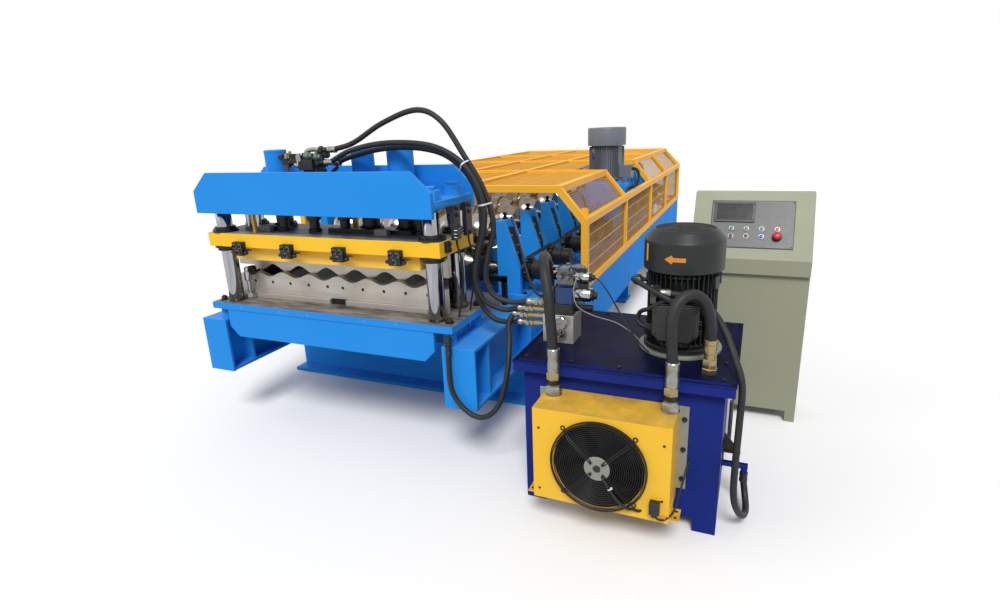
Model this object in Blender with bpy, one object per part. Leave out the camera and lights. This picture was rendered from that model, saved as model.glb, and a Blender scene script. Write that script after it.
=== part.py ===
"""Roll forming machine for stepped roof tile sheet: roll former with its guard, shearing press,
hydraulic power station with oil cooler, and control console. Metres, +Z up.
X = 0 is the centre plane of the rollers and the press, Y = 0 is the web of the front floor beam,
+Y runs back along the machine, and Z = 0 is the floor.
"""

import math

import bmesh
import bpy
from mathutils import Matrix, Vector

# Clearances
SEAT = 0.0003
RUNNING = 0.0005
MOVING_CLEARANCE = 0.006

# Floor beams and main frame
FLOOR_BEAM_HALF_LENGTH = 0.9375
FLOOR_BEAM_HEIGHT = 0.332
FLOOR_BEAM_WIDTH = 0.22
FLOOR_BEAM_WEB = 0.014
FLOOR_BEAM_FLANGE = 0.018
FRAME_LENGTH = 5.47
FRAME_FRONT_Y = -0.853
MAIN_BEAM_OUTER_X = 0.842
MAIN_BEAM_WIDTH = 0.1655
MAIN_BEAM_HEIGHT = 0.303
MAIN_BEAM_WEB = 0.012
MAIN_BEAM_FLANGE = 0.016
END_PLATE = 0.014
WELD_OVERLAP = 0.004

# Forming stations
STATION_COUNT = 12
STATION_PITCH = 0.385
STATION_FIRST_Y = 0.08
LOWER_SHAFT_Z = 0.79
SHAFT_SPACING = 0.21
SHAFT_RADIUS = 0.026
WAVE_PITCH = 0.1833
WAVE_COUNT = 6
ROLLER_MEAN_RADIUS = 0.102
ROLLER_WAVE = 0.014
ROLLER_SIDES = 8
STAND_INNER_X = 0.60
STAND_TOP_OUTER_X = 0.645
STAND_FOOT_OUTER_X = 0.74
STAND_DEPTH = 0.16
STAND_POST = 0.035
STAND_TOP_Z = 1.08
STAND_KNEE_Z = 0.80
STAND_RAIL_OUTER_X = 0.78
STAND_RAIL_HEIGHT = 0.020
STAND_CAP = 0.045
BEARING_BLOCK_HEIGHT = 0.12
BEARING_BLOCK_OUTER_X = 0.70
SPROCKET_RADIUS = 0.075
SPROCKET_WIDTH = 0.045
HUB_RADIUS = 0.045
HUB_LENGTH = 0.060

# Press bed and columns
BED_HALF_WIDTH = 0.740
BED_FRONT_Y = -0.857
BED_REAR_Y = -0.473
BED_THICKNESS = 0.036
BED_SPACER_HEIGHT = 0.068
BED_SPACER_RADIUS = 0.030
BED_SPACER_X = 0.700
BED_PORT = (0.722, -0.872)
BED_PORT_Z = 0.684
APRON_HALF_WIDTH = 0.638
APRON_HEIGHT = 0.151
APRON_CHAMFER = 0.055
APRON_THICKNESS = 0.020
COLUMN_X = 0.629
COLUMN_FRONT_Y = -0.785
COLUMN_SPACING_Y = 0.225
COLUMN_RADIUS = 0.0395

# Shear blades and platen
LOWER_BLADE_FRONT_Y = -0.700
BLADE_THICKNESS = 0.030
BLADE_HALF_WIDTH = COLUMN_X - 0.034
LOWER_EDGE_Z = 0.8745
LOWER_EDGE_SWING = 0.0135
UPPER_EDGE_Z = 0.9025
UPPER_EDGE_SWING = 0.0185
DIE_RAIL_HEIGHT = 0.029
DIE_RAIL_HALF_WIDTH = BLADE_HALF_WIDTH - 0.013
DIE_RAIL_DEPTH = 0.095
DIE_NOTCH_WIDTH = 0.100
PLATEN_HALF_WIDTH = COLUMN_X + 0.067
PLATEN_FRONT_Y = -0.843
PLATEN_REAR_Y = -0.500
PLATEN_BOTTOM_Z = 1.050
PLATEN_THICKNESS = 0.071
STRIP_HALF_WIDTH = BLADE_HALF_WIDTH - 0.030
STRIP_FRONT_Y = -0.800
STRIP_DEPTH = 0.130
STRIP_HEIGHT = 0.074
BUSHING_RADIUS = 0.064
BUSHING_HEIGHT = 0.028
CLAMP_COUNT = 4
CLAMP_PITCH = 0.316
CLAMP_WIDTH = 0.064
CLAMP_HEIGHT = 0.070
CLAMP_DEPTH = 0.030
CLAMP_CENTRE_Z = 1.047

# Top frame of the press
TOP_HALF_WIDTH = COLUMN_X + 0.065
TOP_FRONT_Y = -0.888
TOP_REAR_Y = -0.463
TOP_PLATE_THICKNESS = 0.022
TOP_BOTTOM_Z = 1.230
TOP_HEIGHT = 0.203
TOP_CHAMFER_X = 0.100
TOP_CHAMFER_Z = 0.091
DECK_BOTTOM_Z = 1.262
DECK_THICKNESS = 0.036
NUT_RADIUS = 0.052
NUT_HEIGHT = 0.046
CYLINDER_RADIUS = 0.0675
CYLINDER_TOP_Z = 1.527
CYLINDER_Y = -0.605
CYLINDER_XS = (-0.38, 0.18, 0.39)
ROD_RADIUS = 0.030
ROD_TOP_Z = 1.36
VALVE_BLOCK_X = -0.040
VALVE_BLOCK_Y = -0.715
PRESS_PORT_X = 0.045
PRESS_PORTS = ((-0.712, 1.525), (-0.745, 1.467), (-0.690, 1.462))

# Guard cage
GUARD_SIDE_X = 1.065
GUARD_RIDGE_X = 0.885
GUARD_FRONT_Y = 0.27
GUARD_BAYS = (1.15, 1.13, 1.00, 1.00)
GUARD_RAIL_Z = 0.640
GUARD_EAVE_Z = 1.060
GUARD_RIDGE_Z = 1.250
GUARD_TUBE = 0.040
GUARD_SPINE_X = 0.25
GUARD_WIRE = 0.004
GUARD_WIRE_PITCH = 0.100
DRIVE_BAY = 1
COVER_THICKNESS = 0.012
COVER_BOTTOM_Z = 0.332
OUTRIGGER_SIZE = 0.060

# Drive
DRIVE_X = 0.790
DRIVE_Y = 1.900
DRIVE_MOTOR_RADIUS = 0.155
DRIVE_MOTOR_BOTTOM_Z = 1.130
DRIVE_MOTOR_TOP_Z = 1.552
DRIVE_COWL_HEIGHT = 0.142
DRIVE_PLATE_THICKNESS = 0.028
DRIVE_PLATE_HALF = 0.145
GEARBOX_OUTER_X = 0.985
GEARBOX_INNER_X = 0.665
GEARBOX_DEPTH = 0.17

# Power station
TANK_X = (1.113, 1.911)
TANK_Y = (-0.929, -0.254)
TANK_TOP_Z = 0.661
TANK_BOTTOM_Z = 0.060
TANK_RIM = 0.035
TANK_RIM_HEIGHT = 0.040
TANK_FOOT = 0.090
LID_THICKNESS = 0.010
LID_INSET = 0.020
PUMP_X = 1.705
PUMP_Y = -0.605
PUMP_RADIUS = 0.160
PUMP_FLANGE_RADIUS = 0.170
PUMP_FLANGE_HEIGHT = 0.028
PUMP_BODY_RADIUS = 0.142
PUMP_COWL_Z = (1.000, 1.135)
PUMP_TOP_Z = 1.184
PUMP_TOP_RADIUS = 0.125
PUMP_OUTLET = (1.640, -0.780, 0.950)
MANIFOLD_X = (1.130, 1.270)
MANIFOLD_Y = (-0.730, -0.600)
MANIFOLD_HEIGHT = 0.180
VALVE_STACK_X = 1.185
VALVE_STACK_HEIGHT = 0.150
MANIFOLD_PORTS = ((1.075, 0.832), (1.030, 0.800), (1.003, 0.768), (1.030, 0.732))
RETURN_INLET = (1.155, -0.695)
RETURN_STUB = 0.025
COOLER_X = (1.221, 1.752)
COOLER_DEPTH = 0.203
COOLER_Z = (0.158, 0.553)
COOLER_FLANGE = 0.038
COOLER_FLANGE_THICKNESS = 0.006
COOLER_PORT_XS = (1.263, 1.724)
COOLER_PORT_Y = -0.990
COOLER_PORT_TOP = 0.702
RETURN_PORT = (1.845, -0.864)
RETURN_PORT_HEIGHT = 0.085
SIDE_PORT = (2.000, -0.700, 0.200)
SIDE_PORT_DROP = 0.030
FAN_X = 1.484
FAN_Z = 0.349
FAN_RADIUS = 0.160
FAN_WELL_RADIUS = 0.178
FAN_WELL_DEPTH = 0.075
FAN_HUB_RADIUS = 0.048
FAN_INSET = 0.012
FAN_BLADE_COUNT = 5
FAN_GUARD_RADIUS = 0.188
FAN_GUARD_STANDOFF = 0.035
FAN_GUARD_WIRE = 0.006

# Console
CONSOLE_X = (1.655, 2.240)
CONSOLE_FRONT_Y = 0.152
CONSOLE_DEPTH = 0.28
CONSOLE_HEIGHT = 1.212
CONSOLE_FOOT = 0.060
CONSOLE_SILL_Z = 0.894
CONSOLE_SLOPE_DEPTH = 0.200
CONSOLE_LIP = 0.020
CONSOLE_LIP_HEIGHT = 0.079
PANEL_WIDTH = 0.400
PANEL_MARGIN = 0.051
PANEL_LENGTH = 0.262
PANEL_THICKNESS = 0.006
BUTTON_PITCH = 0.0735
BUTTON_RADIUS = 0.012
STOP_RADIUS = 0.020

# Hoses
HOSE_RADIUS = 0.0125
HOSE_LEAD = 0.030
MANIFOLD_PORT_Y = (MANIFOLD_Y[0] + MANIFOLD_Y[1]) / 2
COOLER_HOSE_RADIUS = 0.021
SIDE_HOSE_RADIUS = 0.0135
FITTING_RADIUS = 0.016

FLOOR_BEAM_TOP_Z = FLOOR_BEAM_HEIGHT
MAIN_BEAM_BOTTOM_Z = FLOOR_BEAM_TOP_Z
MAIN_BEAM_TOP_Z = MAIN_BEAM_BOTTOM_Z + MAIN_BEAM_HEIGHT
MAIN_BEAM_X = MAIN_BEAM_OUTER_X - MAIN_BEAM_WIDTH / 2
FRAME_REAR_Y = FRAME_FRONT_Y + FRAME_LENGTH
UPPER_SHAFT_Z = LOWER_SHAFT_Z + SHAFT_SPACING
ROLLER_HALF_LENGTH = WAVE_PITCH * WAVE_COUNT / 2
RAIL_BOTTOM_Z = MAIN_BEAM_TOP_Z + SEAT
RAIL_TOP_Z = RAIL_BOTTOM_Z + STAND_RAIL_HEIGHT
BED_TOP_Z = MAIN_BEAM_TOP_Z + SEAT + BED_SPACER_HEIGHT + BED_THICKNESS
BED_BOTTOM_Z = BED_TOP_Z - BED_THICKNESS
COLUMN_YS = (COLUMN_FRONT_Y, COLUMN_FRONT_Y + COLUMN_SPACING_Y)
COLUMN_TOP_Z = DECK_BOTTOM_Z - SEAT
PLATEN_TOP_Z = PLATEN_BOTTOM_Z + PLATEN_THICKNESS
UPPER_BLADE_FRONT_Y = LOWER_BLADE_FRONT_Y + BLADE_THICKNESS + MOVING_CLEARANCE
LID_TOP_Z = TANK_TOP_Z + LID_THICKNESS
FLOOR_BEAM_YS = [index * (FRAME_REAR_Y - FLOOR_BEAM_WIDTH) / 2 for index in range(3)]
GUARD_YS = [GUARD_FRONT_Y + sum(GUARD_BAYS[:i]) for i in range(len(GUARD_BAYS) + 1)]
GEARBOX_Y = STATION_FIRST_Y + 4.5 * STATION_PITCH
COOLER_FRONT_Y = TANK_Y[0] - SEAT - COOLER_DEPTH


def station_y(index):
    return STATION_FIRST_Y + index * STATION_PITCH


def material(name, colour, roughness, metallic=0.0):
    made = bpy.data.materials.new(name)
    made.use_nodes = True
    shader = made.node_tree.nodes["Principled BSDF"]
    shader.inputs["Base Color"].default_value = (*colour, 1.0)
    shader.inputs["Roughness"].default_value = roughness
    shader.inputs["Metallic"].default_value = metallic
    made.diffuse_color = (*colour, 1.0)
    return made


def prism(points, axis, low, high):
    """A polygon extruded along an axis. Its points are (Y, Z), (X, Z) or (X, Y) for X, Y or Z."""
    made = bmesh.new()
    place = {
        "X": lambda a, b: (low, a, b),
        "Y": lambda a, b: (a, low, b),
        "Z": lambda a, b: (a, b, low),
    }[axis]
    face = made.faces.new([made.verts.new(place(a, b)) for a, b in points])
    extruded = bmesh.ops.extrude_face_region(made, geom=[face])["geom"]
    moved = [item for item in extruded if isinstance(item, bmesh.types.BMVert)]
    shift = {"X": (1, 0, 0), "Y": (0, 1, 0), "Z": (0, 0, 1)}[axis]
    bmesh.ops.translate(made, verts=moved, vec=Vector(shift) * (high - low))
    bmesh.ops.recalc_face_normals(made, faces=made.faces)
    return made


def box(xs, ys, zs):
    corners = [(xs[0], ys[0]), (xs[1], ys[0]), (xs[1], ys[1]), (xs[0], ys[1])]
    return prism(corners, "Z", zs[0], zs[1])


def bar(axis, centre, radius, low, high, sides=16):
    """A round bar, with a flat side facing along each axis."""
    turn = [2 * math.pi * (i + 0.5) / sides for i in range(sides)]
    points = [(centre[0] + radius * math.cos(a), centre[1] + radius * math.sin(a)) for a in turn]
    return prism(points, axis, low, high)


def turned(axis, centre, profile, sides):
    """A solid of revolution. The profile is a list of (place along the axis, radius)."""
    made = bmesh.new()
    rings = []
    for along, radius in profile:
        ring = []
        for i in range(sides):
            angle = 2 * math.pi * (i + 0.5) / sides
            a = centre[0] + radius * math.cos(angle)
            b = centre[1] + radius * math.sin(angle)
            point = {"X": (along, a, b), "Y": (a, along, b), "Z": (a, b, along)}[axis]
            ring.append(made.verts.new(point))
        rings.append(ring)
    for one, two in zip(rings, rings[1:]):
        for i in range(sides):
            j = (i + 1) % sides
            made.faces.new((one[i], one[j], two[j], two[i]))
    made.faces.new(rings[0])
    made.faces.new(rings[-1])
    bmesh.ops.recalc_face_normals(made, faces=made.faces)
    return made


def rod_between(start, end, width, sides=4):
    """A straight bar of a regular section from one point to another."""
    start, end = Vector(start), Vector(end)
    along = (end - start).normalized()
    side = along.cross(Vector((0, 0, 1)))
    side = Vector((1, 0, 0)) if side.length < 0.1 else side.normalized()
    up = side.cross(along)
    radius = width / 2 / math.cos(math.pi / sides)
    made = bmesh.new()
    rings = []
    for point in (start, end):
        ring = []
        for i in range(sides):
            angle = 2 * math.pi * (i + 0.5) / sides
            offset = side * math.cos(angle) + up * math.sin(angle)
            ring.append(made.verts.new(point + offset * radius))
        rings.append(ring)
    for i in range(sides):
        j = (i + 1) % sides
        made.faces.new((rings[0][i], rings[0][j], rings[1][j], rings[1][i]))
    made.faces.new(rings[0])
    made.faces.new(rings[1])
    bmesh.ops.recalc_face_normals(made, faces=made.faces)
    return made


def place_mesh(name, shape, skin, origin):
    mesh = bpy.data.meshes.new(name)
    bmesh.ops.translate(shape, verts=shape.verts, vec=-Vector(origin))
    shape.to_mesh(mesh)
    shape.free()
    made = bpy.data.objects.new(name, mesh)
    made.location = origin
    if skin:
        mesh.materials.append(skin)
    return made


def helpers(name, shapes, origin):
    """A collection of shapes that a Boolean joins or cuts, left out of the render."""
    group = bpy.data.collections.new(name)
    bpy.context.scene.collection.children.link(group)
    for index, shape in enumerate(shapes):
        helper = place_mesh(f"{name}_{index}", shape, None, origin)
        helper.hide_render = True
        helper.display_type = "WIRE"
        group.objects.link(helper)
    return group


def solid(name, skin, shapes, cuts=(), origin=(0, 0, 0), parent=None):
    """One named object: the shapes joined, then the cuts taken out."""
    made = place_mesh(name, shapes[0], skin, origin)
    bpy.context.scene.collection.objects.link(made)
    steps = (("UNION", "joined", shapes[1:]), ("DIFFERENCE", "cut", cuts))
    for operation, label, group in steps:
        if not group:
            continue
        boolean = made.modifiers.new(label, "BOOLEAN")
        boolean.operation = operation
        boolean.operand_type = "COLLECTION"
        boolean.collection = helpers(f"{name}_{label}", group, origin)
        boolean.solver = "EXACT"
    made.data.shade_smooth()
    made.data.set_sharp_from_angle(angle=math.radians(35))
    if parent:
        made.parent = parent
        made.matrix_parent_inverse = Matrix.Translation(-parent.location)
    return made


def pivot(name, place):
    made = bpy.data.objects.new(name, None)
    made.location = place
    bpy.context.scene.collection.objects.link(made)
    return made


def mirrored(points):
    return [(-a, b) for a, b in points]


def beam_section(centre, bottom, width, height, web, flange):
    """The outline of an H-beam, across its length."""
    top = bottom + height
    half, thin = width / 2, web / 2
    right = [
        (half, bottom), (half, bottom + flange), (thin, bottom + flange),
        (thin, top - flange), (half, top - flange), (half, top),
    ]
    left = [(-a, b) for a, b in reversed(right)]
    return [(centre + a, b) for a, b in right + left]


def make_base_frame(skin):
    """Both main beams with end plates and stiffeners, welded onto the floor beams."""
    shapes = []
    zs = (MAIN_BEAM_BOTTOM_Z, MAIN_BEAM_TOP_Z)
    for side in (-1, 1):
        section = beam_section(
            side * MAIN_BEAM_X, zs[0], MAIN_BEAM_WIDTH, MAIN_BEAM_HEIGHT,
            MAIN_BEAM_WEB, MAIN_BEAM_FLANGE,
        )
        shapes.append(prism(section, "Y", FRAME_FRONT_Y + END_PLATE / 2, FRAME_REAR_Y))
        xs = sorted((side * MAIN_BEAM_OUTER_X, side * (MAIN_BEAM_OUTER_X - MAIN_BEAM_WIDTH)))
        wide = (xs[0] - WELD_OVERLAP / 2, xs[1] + WELD_OVERLAP / 2)
        tall = (zs[0] - WELD_OVERLAP / 2, zs[1])
        shapes.append(box(wide, (FRAME_FRONT_Y, FRAME_FRONT_Y + END_PLATE), tall))
        inside = (zs[0] + MAIN_BEAM_FLANGE / 2, zs[1] - MAIN_BEAM_FLANGE / 2)
        trimmed = (xs[0] + WELD_OVERLAP, xs[1] - WELD_OVERLAP)
        for y in (FRAME_FRONT_Y + 0.17, -FLOOR_BEAM_WIDTH / 2):
            shapes.append(box(trimmed, (y - END_PLATE / 2, y + END_PLATE / 2), inside))
    ends = (-FLOOR_BEAM_HALF_LENGTH, FLOOR_BEAM_HALF_LENGTH)
    height = FLOOR_BEAM_HEIGHT + WELD_OVERLAP
    for y in FLOOR_BEAM_YS:
        section = beam_section(
            y, 0.0, FLOOR_BEAM_WIDTH, height, FLOOR_BEAM_WEB, FLOOR_BEAM_FLANGE + WELD_OVERLAP
        )
        shapes.append(prism(section, "X", *ends))
    solid("base_frame", skin, shapes)


def stand_shapes(side):
    """One side's row of roller stands on their rail."""
    last = station_y(STATION_COUNT - 1)
    reach = STAND_DEPTH / 2 + 0.03
    xs = sorted((side * STAND_INNER_X, side * STAND_RAIL_OUTER_X))
    shapes = [box(xs, (STATION_FIRST_Y - reach, last + reach), (RAIL_BOTTOM_Z, RAIL_TOP_Z))]
    foot = RAIL_TOP_Z - STAND_RAIL_HEIGHT / 2
    gusset = [
        (STAND_INNER_X, foot), (STAND_FOOT_OUTER_X, foot), (STAND_FOOT_OUTER_X, STAND_KNEE_Z),
        (STAND_TOP_OUTER_X, STAND_TOP_Z), (STAND_INNER_X, STAND_TOP_Z),
    ]
    gusset = gusset if side > 0 else mirrored(gusset)
    cap_xs = sorted((side * STAND_INNER_X, side * STAND_TOP_OUTER_X))
    cap_xs = (cap_xs[0] + SEAT, cap_xs[1] - SEAT)
    block_xs = sorted((side * (STAND_INNER_X + SEAT), side * BEARING_BLOCK_OUTER_X))
    for index in range(STATION_COUNT):
        y = station_y(index)
        for start in (y - STAND_DEPTH / 2, y + STAND_DEPTH / 2 - STAND_POST):
            shapes.append(prism(gusset, "Y", start, start + STAND_POST))
        inner = STAND_DEPTH / 2 - STAND_POST / 2
        cap_zs = (STAND_TOP_Z - STAND_CAP, STAND_TOP_Z - SEAT)
        shapes.append(box(cap_xs, (y - inner, y + inner), cap_zs))
        half = BEARING_BLOCK_HEIGHT / 2
        shapes.append(box(block_xs, (y - inner, y + inner), (LOWER_SHAFT_Z - half, LOWER_SHAFT_Z + half)))
        upper = (UPPER_SHAFT_Z - half / 2, UPPER_SHAFT_Z + half / 2)
        upper_xs = sorted((side * (STAND_INNER_X + SEAT), side * (STAND_TOP_OUTER_X - SEAT)))
        shapes.append(box(upper_xs, (y - inner, y + inner), upper))
    return shapes


def make_stands(skin):
    bores = []
    for index in range(STATION_COUNT):
        centre = (station_y(index), LOWER_SHAFT_Z)
        radius = (SHAFT_RADIUS + RUNNING) / math.cos(math.pi / ROLLER_SIDES)
        ends = (STAND_INNER_X - 0.02, BEARING_BLOCK_OUTER_X + 0.02)
        bores.append(bar("X", centre, radius, *ends, sides=ROLLER_SIDES))
    solid("stands_right", skin, stand_shapes(1), bores)
    solid("stands_left", skin, stand_shapes(-1))


def roller_profile(wave):
    """The wavy barrel of a roller, with wave +1 or -1 for the lower or the upper one."""
    profile = []
    for step in range(2 * WAVE_COUNT + 1):
        along = -ROLLER_HALF_LENGTH + step * WAVE_PITCH / 2
        swing = -ROLLER_WAVE if step % 2 else ROLLER_WAVE
        profile.append((along, ROLLER_MEAN_RADIUS + wave * swing))
    return profile


def make_rollers(skin):
    journal = STAND_INNER_X - SEAT
    hub_start = STAND_FOOT_OUTER_X + 2 * MOVING_CLEARANCE
    sprocket_end = hub_start + SPROCKET_WIDTH
    drive_end = [
        (hub_start, SHAFT_RADIUS), (hub_start, SPROCKET_RADIUS), (sprocket_end, SPROCKET_RADIUS),
        (sprocket_end, HUB_RADIUS), (sprocket_end + HUB_LENGTH, HUB_RADIUS),
    ]
    for index in range(STATION_COUNT):
        y = station_y(index)
        for name, z, wave, end in (
            ("lower", LOWER_SHAFT_Z, 1, drive_end),
            ("upper", UPPER_SHAFT_Z, -1, [(journal, SHAFT_RADIUS)]),
        ):
            barrel = roller_profile(wave)
            profile = [
                (-journal, SHAFT_RADIUS), (barrel[0][0], SHAFT_RADIUS), *barrel,
                (barrel[-1][0], SHAFT_RADIUS), *end,
            ]
            axis = pivot(f"{name}_axis_{index + 1}", (0, y, z))
            shape = turned("X", (y, z), profile, ROLLER_SIDES)
            solid(f"{name}_roller_{index + 1}", skin, [shape], origin=(0, y, z), parent=axis)


def make_bed(skin):
    plate = box(
        (-BED_HALF_WIDTH, BED_HALF_WIDTH), (BED_FRONT_Y, BED_REAR_Y), (BED_BOTTOM_Z, BED_TOP_Z)
    )
    bottom = BED_TOP_Z - BED_THICKNESS - APRON_HEIGHT
    top = BED_BOTTOM_Z + BED_THICKNESS / 2
    inner = APRON_HALF_WIDTH - APRON_CHAMFER
    outline = [
        (-inner, bottom), (inner, bottom), (APRON_HALF_WIDTH, bottom + APRON_CHAMFER),
        (APRON_HALF_WIDTH, top), (-APRON_HALF_WIDTH, top),
        (-APRON_HALF_WIDTH, bottom + APRON_CHAMFER),
    ]
    front = BED_FRONT_Y + 0.004
    shapes = [plate, prism(outline, "Y", front, front + APRON_THICKNESS)]
    rear = BED_REAR_Y - 0.004
    shapes.append(prism(outline, "Y", rear - APRON_THICKNESS, rear))
    x, y = BED_PORT
    shapes.append(bar("Y", (x, BED_PORT_Z), HOSE_RADIUS, y, BED_FRONT_Y + 0.055, sides=8))
    shapes.append(bar("Z", (x, y), HOSE_RADIUS, BED_PORT_Z - 0.036, BED_PORT_Z + 0.004, sides=8))
    for x in (-BED_SPACER_X, BED_SPACER_X):
        for y in (BED_FRONT_Y + 0.055, BED_REAR_Y - 0.055):
            low = MAIN_BEAM_TOP_Z + SEAT
            shapes.append(bar("Z", (x, y), BED_SPACER_RADIUS, low, top, sides=12))
    solid("press_bed", skin, shapes)


def wave_edge(middle, swing, half_width):
    """Points along a blade's wavy edge, from -X to +X. A positive swing has a crest at X = 0."""
    points = []
    steps = 8 * WAVE_COUNT
    for step in range(steps + 1):
        x = -half_width + 2 * half_width * step / steps
        points.append((x, middle + swing * math.cos(2 * math.pi * x / WAVE_PITCH)))
    return points


def make_blades(steel, parent):
    front = LOWER_BLADE_FRONT_Y
    low = BED_TOP_Z + SEAT
    edge = wave_edge(LOWER_EDGE_Z, LOWER_EDGE_SWING, BLADE_HALF_WIDTH)
    outline = [(-BLADE_HALF_WIDTH, low), *edge, (BLADE_HALF_WIDTH, low)]
    plate = prism(outline, "Y", front, front + BLADE_THICKNESS)
    rail = box(
        (-DIE_RAIL_HALF_WIDTH, DIE_RAIL_HALF_WIDTH),
        (front - 0.004, front - 0.004 + DIE_RAIL_DEPTH),
        (low + SEAT, low + DIE_RAIL_HEIGHT),
    )
    notch = box(
        (-DIE_NOTCH_WIDTH / 2, DIE_NOTCH_WIDTH / 2),
        (front - 0.05, front + BLADE_THICKNESS / 2),
        (low - 0.01, low + DIE_RAIL_HEIGHT - 0.005),
    )
    solid("lower_blade", steel, [plate, rail], [notch])
    edge = wave_edge(UPPER_EDGE_Z, -UPPER_EDGE_SWING, BLADE_HALF_WIDTH)
    top = PLATEN_BOTTOM_Z - SEAT
    outline = [(-BLADE_HALF_WIDTH, top), *edge, (BLADE_HALF_WIDTH, top)]
    back = UPPER_BLADE_FRONT_Y
    shape = prism(outline, "Y", back, back + BLADE_THICKNESS)
    solid("upper_blade", steel, [shape], parent=parent)


def make_columns(chrome):
    for side, x in (("left", -COLUMN_X), ("right", COLUMN_X)):
        for place, y in zip(("front", "rear"), COLUMN_YS):
            shape = bar("Z", (x, y), COLUMN_RADIUS, BED_TOP_Z + SEAT, COLUMN_TOP_Z)
            solid(f"column_{side}_{place}", chrome, [shape])


def make_platen(skin, parent):
    shapes = [
        box(
            (-PLATEN_HALF_WIDTH, PLATEN_HALF_WIDTH),
            (PLATEN_FRONT_Y, PLATEN_REAR_Y),
            (PLATEN_BOTTOM_Z, PLATEN_TOP_Z),
        ),
        box(
            (-STRIP_HALF_WIDTH, STRIP_HALF_WIDTH),
            (STRIP_FRONT_Y, STRIP_FRONT_Y + STRIP_DEPTH),
            (PLATEN_BOTTOM_Z - STRIP_HEIGHT, PLATEN_BOTTOM_Z + PLATEN_THICKNESS / 2),
        ),
    ]
    cuts = []
    for x in (-COLUMN_X, COLUMN_X):
        for y in COLUMN_YS:
            zs = (PLATEN_BOTTOM_Z - BUSHING_HEIGHT, PLATEN_TOP_Z + BUSHING_HEIGHT)
            shapes.append(bar("Z", (x, y), BUSHING_RADIUS, *zs))
            bore = COLUMN_RADIUS + RUNNING
            cuts.append(bar("Z", (x, y), bore, zs[0] - 0.01, zs[1] + 0.01))
    for x in CYLINDER_XS:
        zs = (PLATEN_TOP_Z - PLATEN_THICKNESS / 2, ROD_TOP_Z)
        shapes.append(bar("Z", (x, CYLINDER_Y), ROD_RADIUS, *zs, sides=12))
    for index in range(CLAMP_COUNT):
        x = (index - (CLAMP_COUNT - 1) / 2) * CLAMP_PITCH
        half = CLAMP_HEIGHT / 2
        shapes.append(
            box(
                (x - CLAMP_WIDTH / 2, x + CLAMP_WIDTH / 2),
                (PLATEN_FRONT_Y - CLAMP_DEPTH, PLATEN_FRONT_Y + CLAMP_DEPTH / 2),
                (CLAMP_CENTRE_Z - half, CLAMP_CENTRE_Z + half),
            )
        )
    solid("platen", skin, shapes, cuts, parent=parent)


def make_top_frame(skin):
    bottom, top = TOP_BOTTOM_Z, TOP_BOTTOM_Z + TOP_HEIGHT
    inner = TOP_HALF_WIDTH - TOP_CHAMFER_X
    outline = [
        (-TOP_HALF_WIDTH, bottom), (TOP_HALF_WIDTH, bottom),
        (TOP_HALF_WIDTH, top - TOP_CHAMFER_Z), (inner, top), (-inner, top),
        (-TOP_HALF_WIDTH, top - TOP_CHAMFER_Z),
    ]
    shapes = [
        prism(outline, "Y", TOP_FRONT_Y, TOP_FRONT_Y + TOP_PLATE_THICKNESS),
        prism(outline, "Y", TOP_REAR_Y - TOP_PLATE_THICKNESS, TOP_REAR_Y),
    ]
    deck_zs = (DECK_BOTTOM_Z, DECK_BOTTOM_Z + DECK_THICKNESS)
    half = TOP_PLATE_THICKNESS / 2
    deck_xs = (-TOP_HALF_WIDTH + 0.004, TOP_HALF_WIDTH - 0.004)
    shapes.append(box(deck_xs, (TOP_FRONT_Y + half, TOP_REAR_Y - half), deck_zs))
    for x in (-COLUMN_X, COLUMN_X):
        for y in COLUMN_YS:
            zs = (deck_zs[1] - DECK_THICKNESS / 2, deck_zs[1] + NUT_HEIGHT)
            shapes.append(bar("Z", (x, y), NUT_RADIUS, *zs, sides=6))
    bores = []
    for x in CYLINDER_XS:
        centre = (x, CYLINDER_Y)
        zs = (deck_zs[1] - DECK_THICKNESS / 2, CYLINDER_TOP_Z)
        shapes.append(bar("Z", centre, CYLINDER_RADIUS, *zs))
        bore = (ROD_RADIUS + MOVING_CLEARANCE) / math.cos(math.pi / 12)
        depth = (DECK_BOTTOM_Z - 0.01, ROD_TOP_Z + 3 * MOVING_CLEARANCE)
        bores.append(bar("Z", centre, bore, *depth, sides=12))
    solid("top_frame", skin, shapes, bores)
    return deck_zs[1]


def make_press_valves(skin, deck_z):
    """The valve cluster that feeds the press cylinders, on its pedestal between them."""
    x, y = VALVE_BLOCK_X, VALVE_BLOCK_Y
    shapes = [
        box((x - 0.04, x + 0.04), (y - 0.04, y + 0.04), (deck_z + SEAT, 1.44)),
        box((x - 0.06, x + 0.055), (y - 0.055, y + 0.05), (1.43, 1.515)),
        box((x - 0.20, x - 0.155), (y - 0.03, y + 0.03), (1.435, 1.505)),
        bar("X", (y, 1.455), 0.011, x - 0.165, x - 0.05, sides=8),
    ]
    for hose_y, hose_z in PRESS_PORTS:
        shapes.append(bar("X", (hose_y, hose_z), FITTING_RADIUS, x + 0.04, PRESS_PORT_X, sides=8))
    solid("press_valves", skin, shapes)


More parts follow.
